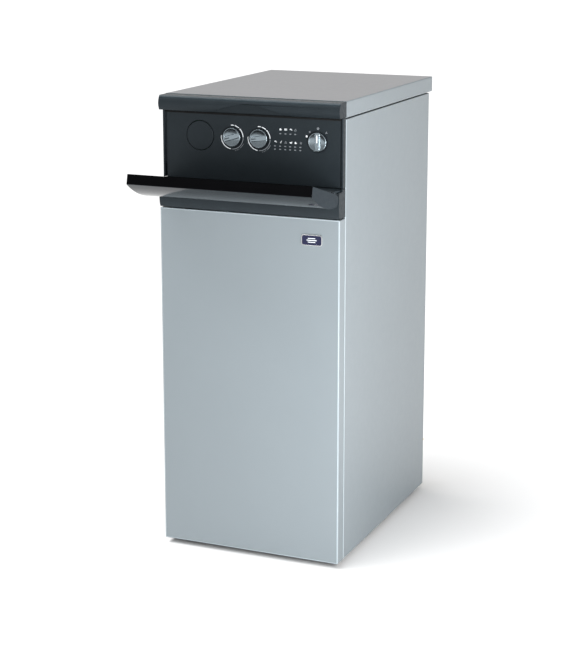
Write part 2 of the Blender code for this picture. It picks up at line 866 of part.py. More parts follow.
def insulation_jacket():
    """A mineral-wool mat round the sides and back of the block."""
    outer, inner, low, high = 0.1700, 0.1560, 0.302, 0.652
    mat = part(
        "insulation_jacket",
        "insulation",
        box((-outer, -0.130, low), (outer, 0.1740, high), 0.006, along_z, 2),
    )
    cut(mat, box((-inner, -0.130 - BEYOND, low - BEYOND), (inner, 0.1610, high + BEYOND)))
    for z in (RETURN_Z, FLOW_Z):
        cut(mat, rod((0, 0.150, z), (0, 0.190, z), 0.020, segments=ROUND))


def water_pipe(name, z):
    """A connection pipe from the rear section out through the back."""
    start, end = SECTION_PITCH + SECTION_DEPTH / 2 + GAP, 0.290
    profile = [
        (0.0168, end - start),
        (0.0168, 0.009),
        (0.0340, 0.009),
        (0.0340, 0.0),
        (0.0136, 0.0),
        (0.0136, end - start),
    ]
    turned(name, "galvanised_steel", profile, (0, start, z), "+y", True)


# ---- burner -----------------------------------------------------------------------------------


def combustion_chamber():
    """The sheet-steel box under the block: open above, below, and in front for the burner."""
    wall = 0.002
    low, high = 0.0203, BLOCK_LOW - GAP
    chamber = part(
        "combustion_chamber",
        "galvanised_steel",
        box((-BLOCK_HALF, CHAMBER_FRONT, low), (BLOCK_HALF, -CHAMBER_FRONT, high)),
    )
    cut(
        chamber,
        box(
            (-BLOCK_HALF + wall, CHAMBER_FRONT + wall, low - BEYOND),
            (BLOCK_HALF - wall, -CHAMBER_FRONT - wall, high + BEYOND),
        ),
        box((-0.112, CHAMBER_FRONT - BEYOND, 0.050), (0.112, CHAMBER_FRONT + BEYOND, 0.200)),
    )


def burner_front_plate():
    """The plate that carries the burner, with the sight hole and the stud of its cover."""
    plate = part(
        "burner_front_plate",
        "stainless_steel",
        box((-0.122, PLATE_FRONT, 0.114), (0.122, PLATE_BACK, 0.210), 0.004, along_y, 2),
    )
    for x in (-BURNER_PITCH, 0, BURNER_PITCH):
        cut(plate, rod((x, -0.16, INLET_Z), (x, -0.14, INLET_Z), 0.0132))
    for x in (-BURNER_PITCH / 2, BURNER_PITCH / 2):
        cut(plate, small_rod((x, -0.16, ELECTRODE_Z), (x, -0.14, ELECTRODE_Z), 0.0046))
    cut(plate, small_rod((SIGHT_X, -0.16, SIGHT_Z), (SIGHT_X, -0.14, SIGHT_Z), 0.006))
    stud_start = (SIGHT_X, PLATE_BACK - 0.001, SIGHT_PIVOT_Z)
    join(plate, small_rod(stud_start, (SIGHT_X, PLATE_FRONT - 0.0035, SIGHT_PIVOT_Z), 0.002))


def sight_cover():
    """The plate that hangs over the sight hole."""
    front, back = PLATE_FRONT - 0.0018, PLATE_FRONT - GAP
    cover = part(
        "sight_cover",
        "galvanised_steel",
        rod((SIGHT_X, front, SIGHT_Z), (SIGHT_X, back, SIGHT_Z), 0.009, segments=20),
        (SIGHT_X, back, SIGHT_PIVOT_Z),
    )
    join(
        cover,
        box(
            (SIGHT_X - 0.005, front, SIGHT_Z),
            (SIGHT_X + 0.005, back, SIGHT_PIVOT_Z + 0.005),
            0.003,
            lambda middle, direction: abs(direction.y) > 0.9 and middle.z > 0,
        ),
    )
    cut(
        cover,
        small_rod(
            (SIGHT_X, front - BEYOND, SIGHT_PIVOT_Z),
            (SIGHT_X, back + BEYOND, SIGHT_PIVOT_Z),
            0.0024,
        ),
    )


def burner_outline(x, half, low, high):
    """(x, z) points of a burner bar's section: upright sides under a half-round top."""
    return [(x - half, low), (x + half, low), *arc((x, high - half), half, 0, 180, 8)]


def burner_bar(name, x):
    """A hollow bar with flame slots across its top and a flared gas-air inlet at the front."""
    front, back, half, wall = -0.1440, 0.1360, 0.020, 0.0015
    bar = part(
        name,
        "stainless_steel",
        slab_y(burner_outline(x, half, BURNER_LOW, BURNER_HIGH), front, back),
    )
    join(bar, rod((x, -0.1660, INLET_Z), (x, front + 0.001, INLET_Z), 0.0130, 0.0125))
    hollow = burner_outline(x, half - wall, BURNER_LOW + wall, BURNER_HIGH - wall)
    cut(
        bar,
        slab_y(hollow, front + wall, back - wall),
        rod((x, -0.1680, INLET_Z), (x, front + 0.010, INLET_Z), 0.0115),
    )
    slots = 7
    for i in range(slots):
        y = front + 0.030 + (back - front - 0.050) * i / (slots - 1)
        low, high = BURNER_HIGH - BEYOND, BURNER_HIGH + BEYOND
        cut(bar, box((x - 0.013, y - 0.0012, low), (x + 0.013, y + 0.0012, high)))


def gas_manifold():
    """The pipe that feeds the injectors, with its riser from the gas valve."""
    radius = 0.010
    made = part(
        "gas_manifold",
        "gas_pipe_paint",
        rod((-0.100, MANIFOLD_Y, INLET_Z), (0.100, MANIFOLD_Y, INLET_Z), radius),
    )
    join(made, rod((RISER_X, MANIFOLD_Y, VALVE_HIGH + GAP), (RISER_X, MANIFOLD_Y, INLET_Z), 0.008))
    for x in (-BURNER_PITCH, 0, BURNER_PITCH):
        join(made, small_rod((x, MANIFOLD_Y, INLET_Z), (x, MANIFOLD_Y + 0.0135, INLET_Z), 0.006))


def injector(name, x):
    """A brass gas jet on the manifold, aimed into a burner bar."""
    profile = [
        (0.0010, 0.0090),
        (0.0030, 0.0085),
        (0.0045, 0.0050),
        (0.0060, 0.0045),
        (0.0060, 0.0),
        (0.0010, 0.0),
    ]
    origin = (x, MANIFOLD_Y + 0.0135 + GAP, INLET_Z)
    turned(name, "brass", profile, origin, "+y", True, 12)



def gas_valve():
    """The die-cast valve body, with its inlet flange."""
    front, back = -0.222, -0.162
    body = part(
        "gas_valve",
        "aluminium",
        box(
            (VALVE_LEFT, front, VALVE_LOW),
            (VALVE_RIGHT, back, VALVE_HIGH),
            0.003,
            along_z,
            2,
        ),
    )
    half = 0.017
    join(
        body,
        box(
            (VALVE_RIGHT - 0.001, MANIFOLD_Y - half, GAS_Z - half),
            (VALVE_RIGHT + 0.008, MANIFOLD_Y + half, GAS_Z + half),
        ),
    )
    for x in (0.010, 0.062):
        join(body, small_rod((x, front + 0.001, 0.078), (x, front - 0.0035, 0.078), 0.0075))


def gas_valve_coil():
    """The solenoid on the left of the valve."""
    end = VALVE_LEFT - GAP
    profile = [(0, 0.038), (0.011, 0.038), (0.011, 0.034), (0.019, 0.034), (0.019, 0.0), (0, 0.0)]
    turned("gas_valve_coil", "black_plastic", profile, (end, MANIFOLD_Y, 0.085), "-x")


def gas_pipe():
    """The supply pipe, from the valve's inlet along the right side and out through the back."""
    radius, bend, end = 0.0107, 0.024, 0.290
    start_x = VALVE_RIGHT + 0.008 + GAP
    turn = arc((GAS_X - bend, MANIFOLD_Y + bend), bend, -90, 0, 6)
    route = [(start_x, MANIFOLD_Y), *turn, (GAS_X, end)]
    made = part("gas_pipe", "gas_pipe_paint", pipe([(x, y, GAS_Z) for x, y in route], radius))
    cut(made, small_rod((GAS_X, end - 0.040, GAS_Z), (GAS_X, end + BEYOND, GAS_Z), 0.0080))


def electrode(name, x):
    """A ceramic-cased electrode through the front plate, with its wire over the burner."""
    profile = [
        (0, 0.052),
        (0.0012, 0.052),
        (0.0012, 0.030),
        (0.0040, 0.030),
        (0.0040, -0.004),
        (0.0058, -0.004),
        (0.0058, -0.010),
        (0.0030, -0.010),
        (0.0030, -0.020),
        (0, -0.020),
    ]
    turned(name, "ceramic", profile, (x, -0.1545, ELECTRODE_Z), "+y", steps=12)


# ---- flue -------------------------------------------------------------------------------------


def flue_collector():
    """The hood over the block, open below, with its outlet at the back."""
    wall, low, high = 0.0015, BLOCK_HIGH + GAP, 0.7450
    made = part(
        "flue_collector",
        "aluminium",
        box((-0.130, -0.095, low), (0.130, COLLECTOR_BACK, high)),
    )
    cut(
        made,
        box(
            (-0.130 + wall, -0.095 + wall, low - BEYOND),
            (0.130 - wall, COLLECTOR_BACK - wall, high - wall),
        ),
        box((-0.090, COLLECTOR_BACK - BEYOND, 0.694), (0.090, COLLECTOR_BACK + BEYOND, 0.7365)),
    )


def draught_hood():
    """The draught diverter: flue gas from the front, room air from below, its spigot at the back."""
    wall, low, high, front = 0.0015, 0.662, 0.802, COLLECTOR_BACK + GAP
    hood = part(
        "draught_hood",
        "aluminium",
        box((-0.110, front, low), (0.110, HOOD_BACK, high)),
    )
    cut(
        hood,
        box((-0.110 + wall, front + wall, low - BEYOND), (0.110 - wall, HOOD_BACK - wall, high - wall)),
        box((-0.090, front - BEYOND, 0.694), (0.090, front + BEYOND, 0.7365)),
    )
    spigot_start = HOOD_BACK - wall / 2
    join(hood, rod((0, spigot_start, FLUE_Z), (0, FLUE_END, FLUE_Z), FLUE_RADIUS, segments=32))
    bore_start = HOOD_BACK - BEYOND
    cut(hood, rod((0, bore_start, FLUE_Z), (0, FLUE_END + BEYOND, FLUE_Z), FLUE_RADIUS - wall, segments=32))



def spill_thermostat():
    """The thermostat on the hood's right side, with a pocket for its reset button."""
    profile = [
        (0.0034, 0.0150),
        (0.0050, 0.0150),
        (0.0060, 0.0140),
        (0.0060, 0.0080),
        (0.0120, 0.0080),
        (0.0120, 0.0),
        (0, 0.0),
        (0, 0.0100),
        (0.0034, 0.0100),
    ]
    origin = (0.110 + GAP, STAT_Y, STAT_Z)
    turned("spill_thermostat", "aluminium", profile, origin, "+x", True, SMALL_ROUND)


def reset_button():
    profile = [(0, 0.0060), (0.0024, 0.0060), (0.0030, 0.0054), (0.0030, 0.0), (0, 0.0)]
    origin = (0.110 + GAP + 0.0124, STAT_Y, STAT_Z)
    turned("reset_button", "red_plastic", profile, origin, "+x", steps=12)


# ---- drain cock -------------------------------------------------------------------------------


def drain_cock():
    """The boiler's drain, with a hose nozzle to the front."""
    face = -SECTION_PITCH - SECTION_DEPTH / 2
    profile = [
        (0.0092, 0.012),
        (0.0092, -0.0004),
        (0.0135, -0.0004),
        (0.0135, -0.012),
        (0.0115, -0.012),
        (0.0115, -0.038),
        (0.0075, -0.040),
        (0.0090, -0.050),
        (0.0070, -0.058),
        (0.0045, -0.058),
        (0.0045, 0.012),
    ]
    made = turned("drain_cock", "brass", profile, (DRAIN_X, face, DRAIN_Z), "+y", True, SMALL_ROUND)
    reach = DRAIN_STEM_Y - face
    join(made, small_rod((0, -0.010, reach), (0, -0.017, reach), 0.006), local=True)


def drain_lever():
    """The quarter-turn lever, across the pipe when shut."""
    low = DRAIN_Z + 0.017 + GAP
    lever = part(
        "drain_cock_lever",
        "red_plastic",
        box(
            (DRAIN_X - 0.008, DRAIN_STEM_Y - 0.006, low),
            (DRAIN_X + 0.046, DRAIN_STEM_Y + 0.006, low + 0.006),
            0.005,
            along_z,
        ),
        (DRAIN_X, DRAIN_STEM_Y, low),
    )
    join(lever, small_rod((DRAIN_X, DRAIN_STEM_Y, low), (DRAIN_X, DRAIN_STEM_Y, low + 0.009), 0.0085))


# ---- the boiler -------------------------------------------------------------------------------
def build():
    base_frame()
    side_panel("left_side_panel", -1)
    side_panel("right_side_panel", 1)
    rear_panel()
    top_cover()
    front_panel()
    badge()
    for front, y in (("front", -FOOT_Y), ("rear", FOOT_Y)):
        for side, x in (("left", -FOOT_X), ("right", FOOT_X)):
            levelling_foot(f"foot_{front}_{side}", x, y)

    top_bar()
    fascia()
    bottom_rail()
    flap()
    hinge_pin("flap_hinge_pin_left", -1)
    hinge_pin("flap_hinge_pin_right", 1)
    knob("heating_knob", HEATING_X, 17)
    knob("hot_water_knob", HOT_WATER_X, 7)
    knob("mode_knob", MODE_X, 90)
    dial_encoder("heating_potentiometer", HEATING_X)
    dial_encoder("hot_water_potentiometer", HOT_WATER_X)
    dial_encoder("mode_switch", MODE_X)
    blanking_disc()
    control_box()
    circuit_board()
    cable_gland()

    for index, name in enumerate(("section_front", "section_middle", "section_rear")):
        section(name, index)
    for index, place in ((0, "front"), (1, "rear")):
        nipple(f"nipple_upper_{place}", index, FLOW_Z)
        nipple(f"nipple_lower_{place}", index, RETURN_Z)
    tie_rod("tie_rod_left", -1)
    tie_rod("tie_rod_right", 1)
    insulation_jacket()
    water_pipe("flow_pipe", FLOW_Z)
    water_pipe("return_pipe", RETURN_Z)

    combustion_chamber()
    burner_front_plate()
    sight_cover()
    for number, x in enumerate((-BURNER_PITCH, 0, BURNER_PITCH), 1):
        burner_bar(f"burner_bar_{number}", x)
        injector(f"injector_{number}", x)
    gas_manifold()
    gas_valve()
    gas_valve_coil()
    gas_pipe()
    electrode("ignition_electrode", -BURNER_PITCH / 2)
    electrode("flame_sensor", BURNER_PITCH / 2)

    flue_collector()
    draught_hood()
    spill_thermostat()
    reset_button()
    drain_cock()
    drain_lever()


build()
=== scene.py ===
# A floor-standing gas boiler with its burner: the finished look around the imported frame.
import json
import math

import bmesh
import bpy
from mathutils import Matrix, Vector

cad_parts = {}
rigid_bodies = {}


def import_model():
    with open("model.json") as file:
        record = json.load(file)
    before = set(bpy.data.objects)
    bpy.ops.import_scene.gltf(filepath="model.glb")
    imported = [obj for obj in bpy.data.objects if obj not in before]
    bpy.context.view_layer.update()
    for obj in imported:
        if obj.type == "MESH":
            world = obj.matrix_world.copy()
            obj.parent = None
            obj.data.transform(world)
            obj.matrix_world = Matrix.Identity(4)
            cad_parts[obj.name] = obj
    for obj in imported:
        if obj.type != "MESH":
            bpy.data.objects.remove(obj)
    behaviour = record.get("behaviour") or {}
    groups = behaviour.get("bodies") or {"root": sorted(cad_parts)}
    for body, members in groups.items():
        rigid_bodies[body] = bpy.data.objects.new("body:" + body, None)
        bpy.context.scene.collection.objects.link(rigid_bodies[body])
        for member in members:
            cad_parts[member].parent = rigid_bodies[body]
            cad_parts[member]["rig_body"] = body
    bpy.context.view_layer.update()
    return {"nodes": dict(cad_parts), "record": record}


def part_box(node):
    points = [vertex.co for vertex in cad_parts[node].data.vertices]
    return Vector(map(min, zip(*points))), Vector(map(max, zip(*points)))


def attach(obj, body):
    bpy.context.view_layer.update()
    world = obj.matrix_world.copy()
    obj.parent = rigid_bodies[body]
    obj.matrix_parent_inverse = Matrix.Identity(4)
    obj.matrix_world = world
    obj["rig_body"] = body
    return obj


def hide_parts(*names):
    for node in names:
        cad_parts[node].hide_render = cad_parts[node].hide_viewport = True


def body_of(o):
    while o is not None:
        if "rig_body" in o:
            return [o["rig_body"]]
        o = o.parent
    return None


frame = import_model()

# ---- driving dimensions, in metres ------------------------------------------------------------
MM = 0.001
FORWARD, BACKWARD = (0, -1, 0), (0, 1, 0)


def box_of(node):
    """The lowest and the highest corner of a CAD node."""
    low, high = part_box(node)
    return Vector(low), Vector(high)


def middle_of(node):
    low, high = box_of(node)
    return (low + high) / 2


# The fascia's flat face lies behind its rim. The rounded front edges of the casing's sheets lie in
# front of EDGES_Y, and the smoked cover's end walls lie outside CHEEK_X.
FACE_Y = box_of("fascia")[0].y + 3.5 * MM
EDGES_Y = box_of("left_side_panel")[0].y + 4.0 * MM
CHEEK_X = box_of("flap")[1].x - 3.2 * MM

DIAL_Z = middle_of("heating_knob").z
SCALE_X = (middle_of("heating_knob").x, middle_of("hot_water_knob").x)
MODE_X = middle_of("mode_knob").x
KNOB_TILT = {"heating_knob": 17, "hot_water_knob": 7, "mode_knob": 90}
KNOB_STEPS, KNOB_RINGS = 180, 52
SHAFT = 3.0 * MM
INK = 0.05 * MM

PIECES = bpy.data.collections.new("finish")
bpy.context.scene.collection.children.link(PIECES)


# ---- materials --------------------------------------------------------------------------------
def colour(red, green, blue):
    """A colour given as it looks on a screen, 0 to 255."""

    def linear(value):
        share = value / 255
        return share / 12.92 if share <= 0.04045 else ((share + 0.055) / 1.055) ** 2.4

    return (linear(red), linear(green), linear(blue), 1.0)


def shade(base, factor):
    return (*(min(1.0, channel * factor) for channel in base[:3]), 1.0)


class Finish:
    """A Principled material whose patterns are laid out in the piece's own coordinates, in metres."""

    def __init__(self, name, roughness, metallic=0.0, **sockets):
        self.material = bpy.data.materials.new(name)
        self.material.use_nodes = True
        self.tree = self.material.node_tree
        self.shader = self.tree.nodes["Principled BSDF"]
        self.shader.inputs["Roughness"].default_value = roughness
        self.shader.inputs["Metallic"].default_value = metallic
        for socket, value in sockets.items():
            self.shader.inputs[socket.replace("_", " ")].default_value = value
        self.place = self.node("ShaderNodeTexCoord").outputs["Object"]

    def node(self, kind, **inputs):
        made = self.tree.nodes.new(kind)
        for name, value in inputs.items():
            self.feed(made.inputs[name.replace("_", " ")], value)
        return made

    def feed(self, socket, value):
        if isinstance(value, bpy.types.NodeSocket):
            self.tree.links.new(value, socket)
        else:
            socket.default_value = value

    def stretched(self, stretch):
        return self.node("ShaderNodeMapping", Vector=self.place, Scale=stretch).outputs["Vector"]

    def noise(self, size, detail=3.0, stretch=(1, 1, 1)):
        made = self.node(
            "ShaderNodeTexNoise", Vector=self.stretched(stretch), Scale=1 / size, Detail=detail
        )
        return made.outputs["Fac"]

    def cells(self, size, feature="F1", output="Distance", stretch=(1, 1, 1)):
        made = self.node("ShaderNodeTexVoronoi", Vector=self.stretched(stretch), Scale=1 / size)
        made.feature = feature
        return made.outputs[output]

    def grey_cells(self, size, stretch=(1, 1, 1)):
        """Cells that each have their own grey, 0 to 1."""
        tones = self.cells(size, output="Color", stretch=stretch)
        return self.node("ShaderNodeRGBToBW", Color=tones).outputs["Val"]

    def math(self, operation, *values):
        made = self.tree.nodes.new("ShaderNodeMath")
        made.operation = operation
        for socket, value in zip(made.inputs, values):
            self.feed(socket, value)
        return made.outputs[0]

    def multiplied(self, first, second):
        """Two colours multiplied together."""
        made = self.node("ShaderNodeMix", Factor=1.0)
        made.data_type = "RGBA"
        made.blend_type = "MULTIPLY"
        sockets = [socket for socket in made.inputs if socket.type == "RGBA"]
        for socket, tone in zip(sockets, (first, second)):
            self.feed(socket, tone)
        return next(socket for socket in made.outputs if socket.type == "RGBA")

    def axis(self, name):
        return self.node("ShaderNodeSeparateXYZ", Vector=self.place).outputs[name]

    def wave(self, value, pitch):
        """Even rounded ridges, 0 to 1, one every pitch along a coordinate."""
        angle = self.math("MULTIPLY", value, math.tau / pitch)
        return self.math("MULTIPLY_ADD", self.math("SINE", angle), 0.5, 0.5)

    def spread(self, value, low, high, start=0.3, end=0.7):
        made = self.node(
            "ShaderNodeMapRange",
            Value=value,
            From_Min=start,
            From_Max=end,
            To_Min=low,
            To_Max=high,
        )
        return made.outputs["Result"]

    def ramp(self, value, *stops):
        made = self.node("ShaderNodeValToRGB", Fac=value)
        elements = made.color_ramp.elements
        while len(elements) < len(stops):
            elements.new(0.5)
        for element, (position, tone) in zip(elements, stops):
            element.position = position
            element.color = tone
        return made.outputs["Color"]

    def tint(self, tone):
        self.feed(self.shader.inputs["Base Color"], tone)

    def rough(self, value, low, high):
        self.feed(self.shader.inputs["Roughness"], self.spread(value, low, high))

    def bump(self, *layers):
        """Relief from (height, depth in metres) layers, the coarse ones first."""
        normal = None
        for height, depth in layers:
            made = self.node("ShaderNodeBump", Height=height, Distance=depth, Strength=1.0)
            if normal is not None:
                self.feed(made.inputs["Normal"], normal)
            normal = made.outputs["Normal"]
        self.feed(self.shader.inputs["Normal"], normal)


CASING = colour(125, 134, 139)
COOL_GLEAM = colour(220, 232, 240)


def mottled(finish, base, amount, size):
    """The base colour with a slight drift lighter and darker."""
    light, dark = shade(base, 1 + amount), shade(base, 1 - amount)
    finish.tint(finish.ramp(finish.noise(size), (0.32, dark), (0.5, base), (0.68, light)))


def powder_coat(name, base):
    finish = Finish(name, 0.44, Specular_IOR_Level=0.35, Coat_Weight=0.35, Coat_Roughness=0.18)
    mottled(finish, base, 0.008, 90 * MM)
    finish.rough(finish.noise(12 * MM), 0.42, 0.46)
    orange_peel, grain = finish.noise(1.4 * MM, 2), finish.noise(0.5 * MM, 1)
    finish.bump((orange_peel, 0.003 * MM), (grain, 0.0015 * MM))
    return finish.material


def moulded_plastic(name, base, roughness, gleam=(1, 1, 1, 1)):
    finish = Finish(name, roughness, Specular_IOR_Level=0.3, Specular_Tint=gleam)
    mottled(finish, base, 0.06, 30 * MM)
    finish.rough(finish.noise(6 * MM), roughness - 0.06, roughness + 0.08)
    grain, flow = finish.noise(0.7 * MM, 2), finish.noise(20 * MM, 1)
    finish.bump((grain, 0.012 * MM), (flow, 0.03 * MM))
    return finish.material


def smoked_plastic(name, base, roughness, gloss, grain_depth):
    finish = Finish(name, roughness, Specular_IOR_Level=gloss, Specular_Tint=COOL_GLEAM)
    mottled(finish, base, 0.08, 50 * MM)
    finish.rough(finish.noise(4 * MM), roughness - 0.03, roughness + 0.05)
    flow, grain = finish.noise(30 * MM, 1), finish.noise(0.6 * MM, 2)
    finish.bump((flow, 0.04 * MM), (grain, grain_depth))
    return finish.material


def silver_paint():
    finish = Finish("knob_silver", 0.24, 0.95, Specular_IOR_Level=0.5)
    base = colour(142, 154, 161)
    flakes = finish.grey_cells(0.4 * MM)
    finish.tint(finish.ramp(flakes, (0.1, shade(base, 0.97)), (0.9, shade(base, 1.03))))
    finish.rough(flakes, 0.19, 0.25)
    finish.bump((finish.noise(1.2 * MM, 2), 0.004 * MM))
    return finish.material


def ink(name, base):
    finish = Finish(name, 0.55)
    mottled(finish, base, 0.05, 2 * MM)
    finish.bump((finish.noise(0.6 * MM, 2), 0.01 * MM))
    return finish.material


def enamel():
    finish = Finish("badge_enamel", 0.2, Specular_IOR_Level=0.3, Coat_Weight=0.15, Coat_Roughness=0.05)
    mottled(finish, colour(22, 26, 58), 0.1, 6 * MM)
    finish.bump((finish.noise(4 * MM, 1), 0.02 * MM))
    return finish.material


def metal(name, base, roughness, streak=(1, 1, 1), streak_size=4 * MM, relief=0.01 * MM):
    """Bare metal with faint streaks, long in the direction where streak is below 1."""
    finish = Finish(name, roughness, 1.0)
    streaks = finish.noise(streak_size, 4, streak)
    finish.tint(finish.ramp(streaks, (0.3, shade(base, 0.94)), (0.7, shade(base, 1.06))))
    finish.rough(streaks, roughness - 0.07, roughness + 0.1)
    finish.bump((finish.noise(20 * MM, 2), relief * 4), (streaks, relief))
    return finish.material


def galvanised():
    finish = Finish("galvanised_steel", 0.42, 0.9)
    base = colour(178, 182, 184)
    spangle = finish.grey_cells(9 * MM, (1, 1, 0.7))
    finish.tint(finish.ramp(spangle, (0.1, shade(base, 0.8)), (0.5, base), (0.9, shade(base, 1.1))))
    finish.rough(spangle, 0.34, 0.5)
    finish.bump((spangle, 0.02 * MM), (finish.noise(3 * MM, 3), 0.01 * MM))
    return finish.material


def cast_iron():
    finish = Finish("cast_iron", 0.66, 0.35, Specular_IOR_Level=0.35)
    skin = finish.noise(3 * MM, 5)
    dark, grey, rusty = colour(52, 52, 54), colour(74, 74, 76), colour(92, 86, 80)
    finish.tint(finish.ramp(skin, (0.3, dark), (0.55, grey), (0.75, rusty)))
    finish.rough(skin, 0.58, 0.78)
    swell, grain = finish.noise(20 * MM, 2), finish.noise(0.7 * MM, 2)
    finish.bump((swell, 0.4 * MM), (skin, 0.25 * MM), (grain, 0.06 * MM))
    return finish.material


def burner_steel():
    """Stainless steel, straw and blue where the flames heat it."""
    finish = Finish("burner_steel", 0.34, 1.0)
    brushing = finish.noise(2 * MM, 4, (1, 0.04, 1))
    clean = finish.ramp(brushing, (0.3, colour(150, 150, 148)), (0.7, colour(192, 190, 186)))
    cold_below, hot_above = 155 * MM, 187 * MM
    heat = finish.ramp(
        finish.spread(finish.axis("Z"), 0, 1, cold_below, hot_above),
        (0.0, colour(255, 255, 255)),
        (0.45, colour(226, 196, 140)),
        (0.75, colour(150, 120, 130)),
        (1.0, colour(110, 120, 150)),
    )
    finish.tint(finish.multiplied(clean, heat))
    finish.rough(brushing, 0.28, 0.42)
    finish.bump((brushing, 0.01 * MM))
    return finish.material


def board():
    """Green solder mask over copper tracks."""
    finish = Finish("board_green", 0.32, Specular_IOR_Level=0.5, Coat_Weight=0.4, Coat_Roughness=0.1)
    rows, columns = finish.wave(finish.axis("X"), 5.1 * MM), finish.wave(finish.axis("Z"), 7.7 * MM)
    tracks = finish.math("GREATER_THAN", rows, columns)
    broken = finish.math("MULTIPLY", tracks, finish.noise(10 * MM, 2))
    bare, mask, track = colour(18, 78, 48), colour(22, 88, 54), colour(44, 116, 70)
    finish.tint(finish.ramp(broken, (0.0, bare), (0.35, mask), (0.5, track)))
    finish.bump((broken, 0.04 * MM), (finish.noise(0.4 * MM, 2), 0.008 * MM))
    return finish.material


def ceramic():
    finish = Finish("ceramic", 0.2, Coat_Weight=0.5, Coat_Roughness=0.08)
    mottled(finish, colour(226, 222, 210), 0.03, 4 * MM)
    finish.bump((finish.noise(1.5 * MM, 2), 0.02 * MM))
    return finish.material


def foil():
    """Crinkled aluminium foil with a scrim of glass threads, over mineral wool."""
    finish = Finish("insulation", 0.38, 0.85)
    crinkle = finish.cells(11 * MM, feature="DISTANCE_TO_EDGE")
    level, upright = finish.wave(finish.axis("Z"), 6 * MM), finish.wave(finish.axis("Y"), 6 * MM)
    threads = finish.spread(finish.math("MAXIMUM", level, upright), 0, 1, 0.9, 0.99)
    finish.tint(finish.ramp(threads, (0.0, colour(186, 188, 190)), (1.0, colour(150, 152, 150))))
    finish.rough(crinkle, 0.3, 0.5)
    finish.bump((crinkle, 0.6 * MM), (finish.noise(5 * MM, 3), 0.3 * MM), (threads, 0.06 * MM))
    return finish.material


FINISHES = {
    "casing_paint": powder_coat("casing_paint", CASING),
    # A neutral grey for the cover's upward face only, apart from the blue-grey sides: painted light,
    # the top toned by how the light falls on it.
    "cover_paint": powder_coat("cover_paint", colour(144, 144, 146)),
    "panel_plastic": moulded_plastic("panel_plastic", colour(31, 37, 41), 0.44, COOL_GLEAM),
    "smoked_plastic": smoked_plastic("smoked_plastic", colour(17, 20, 23), 0.12, 0.4, 0.001 * MM),
    "knob_silver": silver_paint(),
    "badge_enamel": enamel(),
    "galvanised_steel": galvanised(),
    "cast_iron": cast_iron(),
    "stainless_steel": metal("stainless_steel", colour(182, 181, 178), 0.3, (1, 1, 0.05)),
    "aluminium": metal("aluminium", colour(176, 178, 180), 0.44, relief=0.03 * MM),
    "brass": metal("brass", colour(196, 164, 98), 0.3, (1, 0.08, 1), 3 * MM),
    "gas_pipe_paint": powder_coat("gas_pipe_paint", colour(206, 168, 44)),
    "black_plastic": moulded_plastic("black_plastic", colour(26, 27, 29), 0.44),
    "board_green": board(),
    "ceramic": ceramic(),
    "insulation": foil(),
    "red_plastic": moulded_plastic("red_plastic", colour(176, 34, 28), 0.36),
}
WHITE_INK = ink("white_ink", colour(240, 246, 250))
GREY_INK = ink("grey_ink", colour(150, 156, 162))
# A much lighter copy of the casing paint for the panels' rounded front edges: a painted highlight.
CASING_PAINTED_HIGHLIGHT = powder_coat("casing_painted_highlight", shade(CASING, 1.85))
# The bar's upward faces: glossier, and lighter in colour as a painted highlight.
BAR_TOP_PAINTED_HIGHLIGHT = moulded_plastic("panel_plastic_polished_painted_highlight", colour(34, 43, 48), 0.2, COOL_GLEAM)
# Rougher, grained end walls; their lighter colour is partly a painted reflection.
SMOKED_GRAIN_AND_PAINTED_REFLECTION = smoked_plastic("smoked_plastic_grained_painted_reflection", colour(34, 42, 48), 0.5, 0.12, 0.01 * MM)
# Near black for the flap's inner side: painted shade where the inside of the flap lies in shadow.
SMOKED_PAINTED_SHADE = smoked_plastic("smoked_plastic_inside_painted_shade", colour(6, 6, 7), 0.6, 0.02, 0.01 * MM)
# Near black for the strip under the top bar: a painted shadow.
PAINTED_SHADOW_BLACK = moulded_plastic("painted_shadow_black", colour(9, 10, 11), 0.85)
LAMP = moulded_plastic("lamp_window", colour(136, 142, 148), 0.25)
BLACK_IRON = metal("black_iron", colour(84, 84, 86), 0.45, relief=0.04 * MM)
ZINC = metal("zinc_plate", colour(196, 196, 186), 0.3, relief=0.006 * MM)
CHROME = metal("bright_metal", colour(214, 216, 218), 0.16, relief=0.004 * MM)
BURNER_STEEL = burner_steel()


# ---- meshes -----------------------------------------------------------------------------------
SLOT_OF_NODE = {part["node"]: part["material_slot"] for part in frame["record"]["subparts"]}
FINISHED = set()


def piece_of(name, bm, material, node, angle=35, replaces=False):
    """The mesh as a piece that rides with a CAD node, has its slot, and may stand for it."""
    bmesh.ops.recalc_face_normals(bm, faces=bm.faces)
    mesh = bpy.data.meshes.new(name)
    bm.to_mesh(mesh)
    bm.free()
    mesh.materials.append(material)
    mesh.shade_smooth()
    mesh.set_sharp_from_angle(angle=math.radians(angle))
    piece = bpy.data.objects.new(name, mesh)
    PIECES.objects.link(piece)
    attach(piece, body_of(frame["nodes"][node])[0])
    if replaces:
        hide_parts(node)
        FINISHED.add(node)
    return piece


def cleaned(node):
    """A copy of a node's mesh with its flat faces whole again."""
    bm = bmesh.new()
    bm.from_mesh(frame["nodes"][node].data)
    bmesh.ops.remove_doubles(bm, verts=bm.verts, dist=0.02 * MM)
    bmesh.ops.dissolve_limit(bm, angle_limit=math.radians(1), verts=bm.verts, edges=bm.edges)
    return bm


def sharp_edges(bm, angle=30):
    return [
        edge
        for edge in bm.edges
        if len(edge.link_faces) == 2 and edge.calc_face_angle(0) > math.radians(angle)
    ]


def outline_edges(bm, low, high):
    """The sharp edges along the edges of the box that holds the mesh."""
    found = []
    for edge in sharp_edges(bm):
        walls = 0
        for axis in range(3):
            for wall in (low[axis], high[axis]):
                walls += all(abs(vert.co[axis] - wall) < 0.05 * MM for vert in edge.verts)
        if walls >= 2:
            found.append(edge)
    return found


def bevel(bm, edges, radius, segments=2):
    bmesh.ops.bevel(
        bm,
        geom=edges,
        offset=radius,
        offset_type="OFFSET",
        segments=segments,
        profile=0.5,
        affect="EDGES",
        clamp_overlap=False,
    )


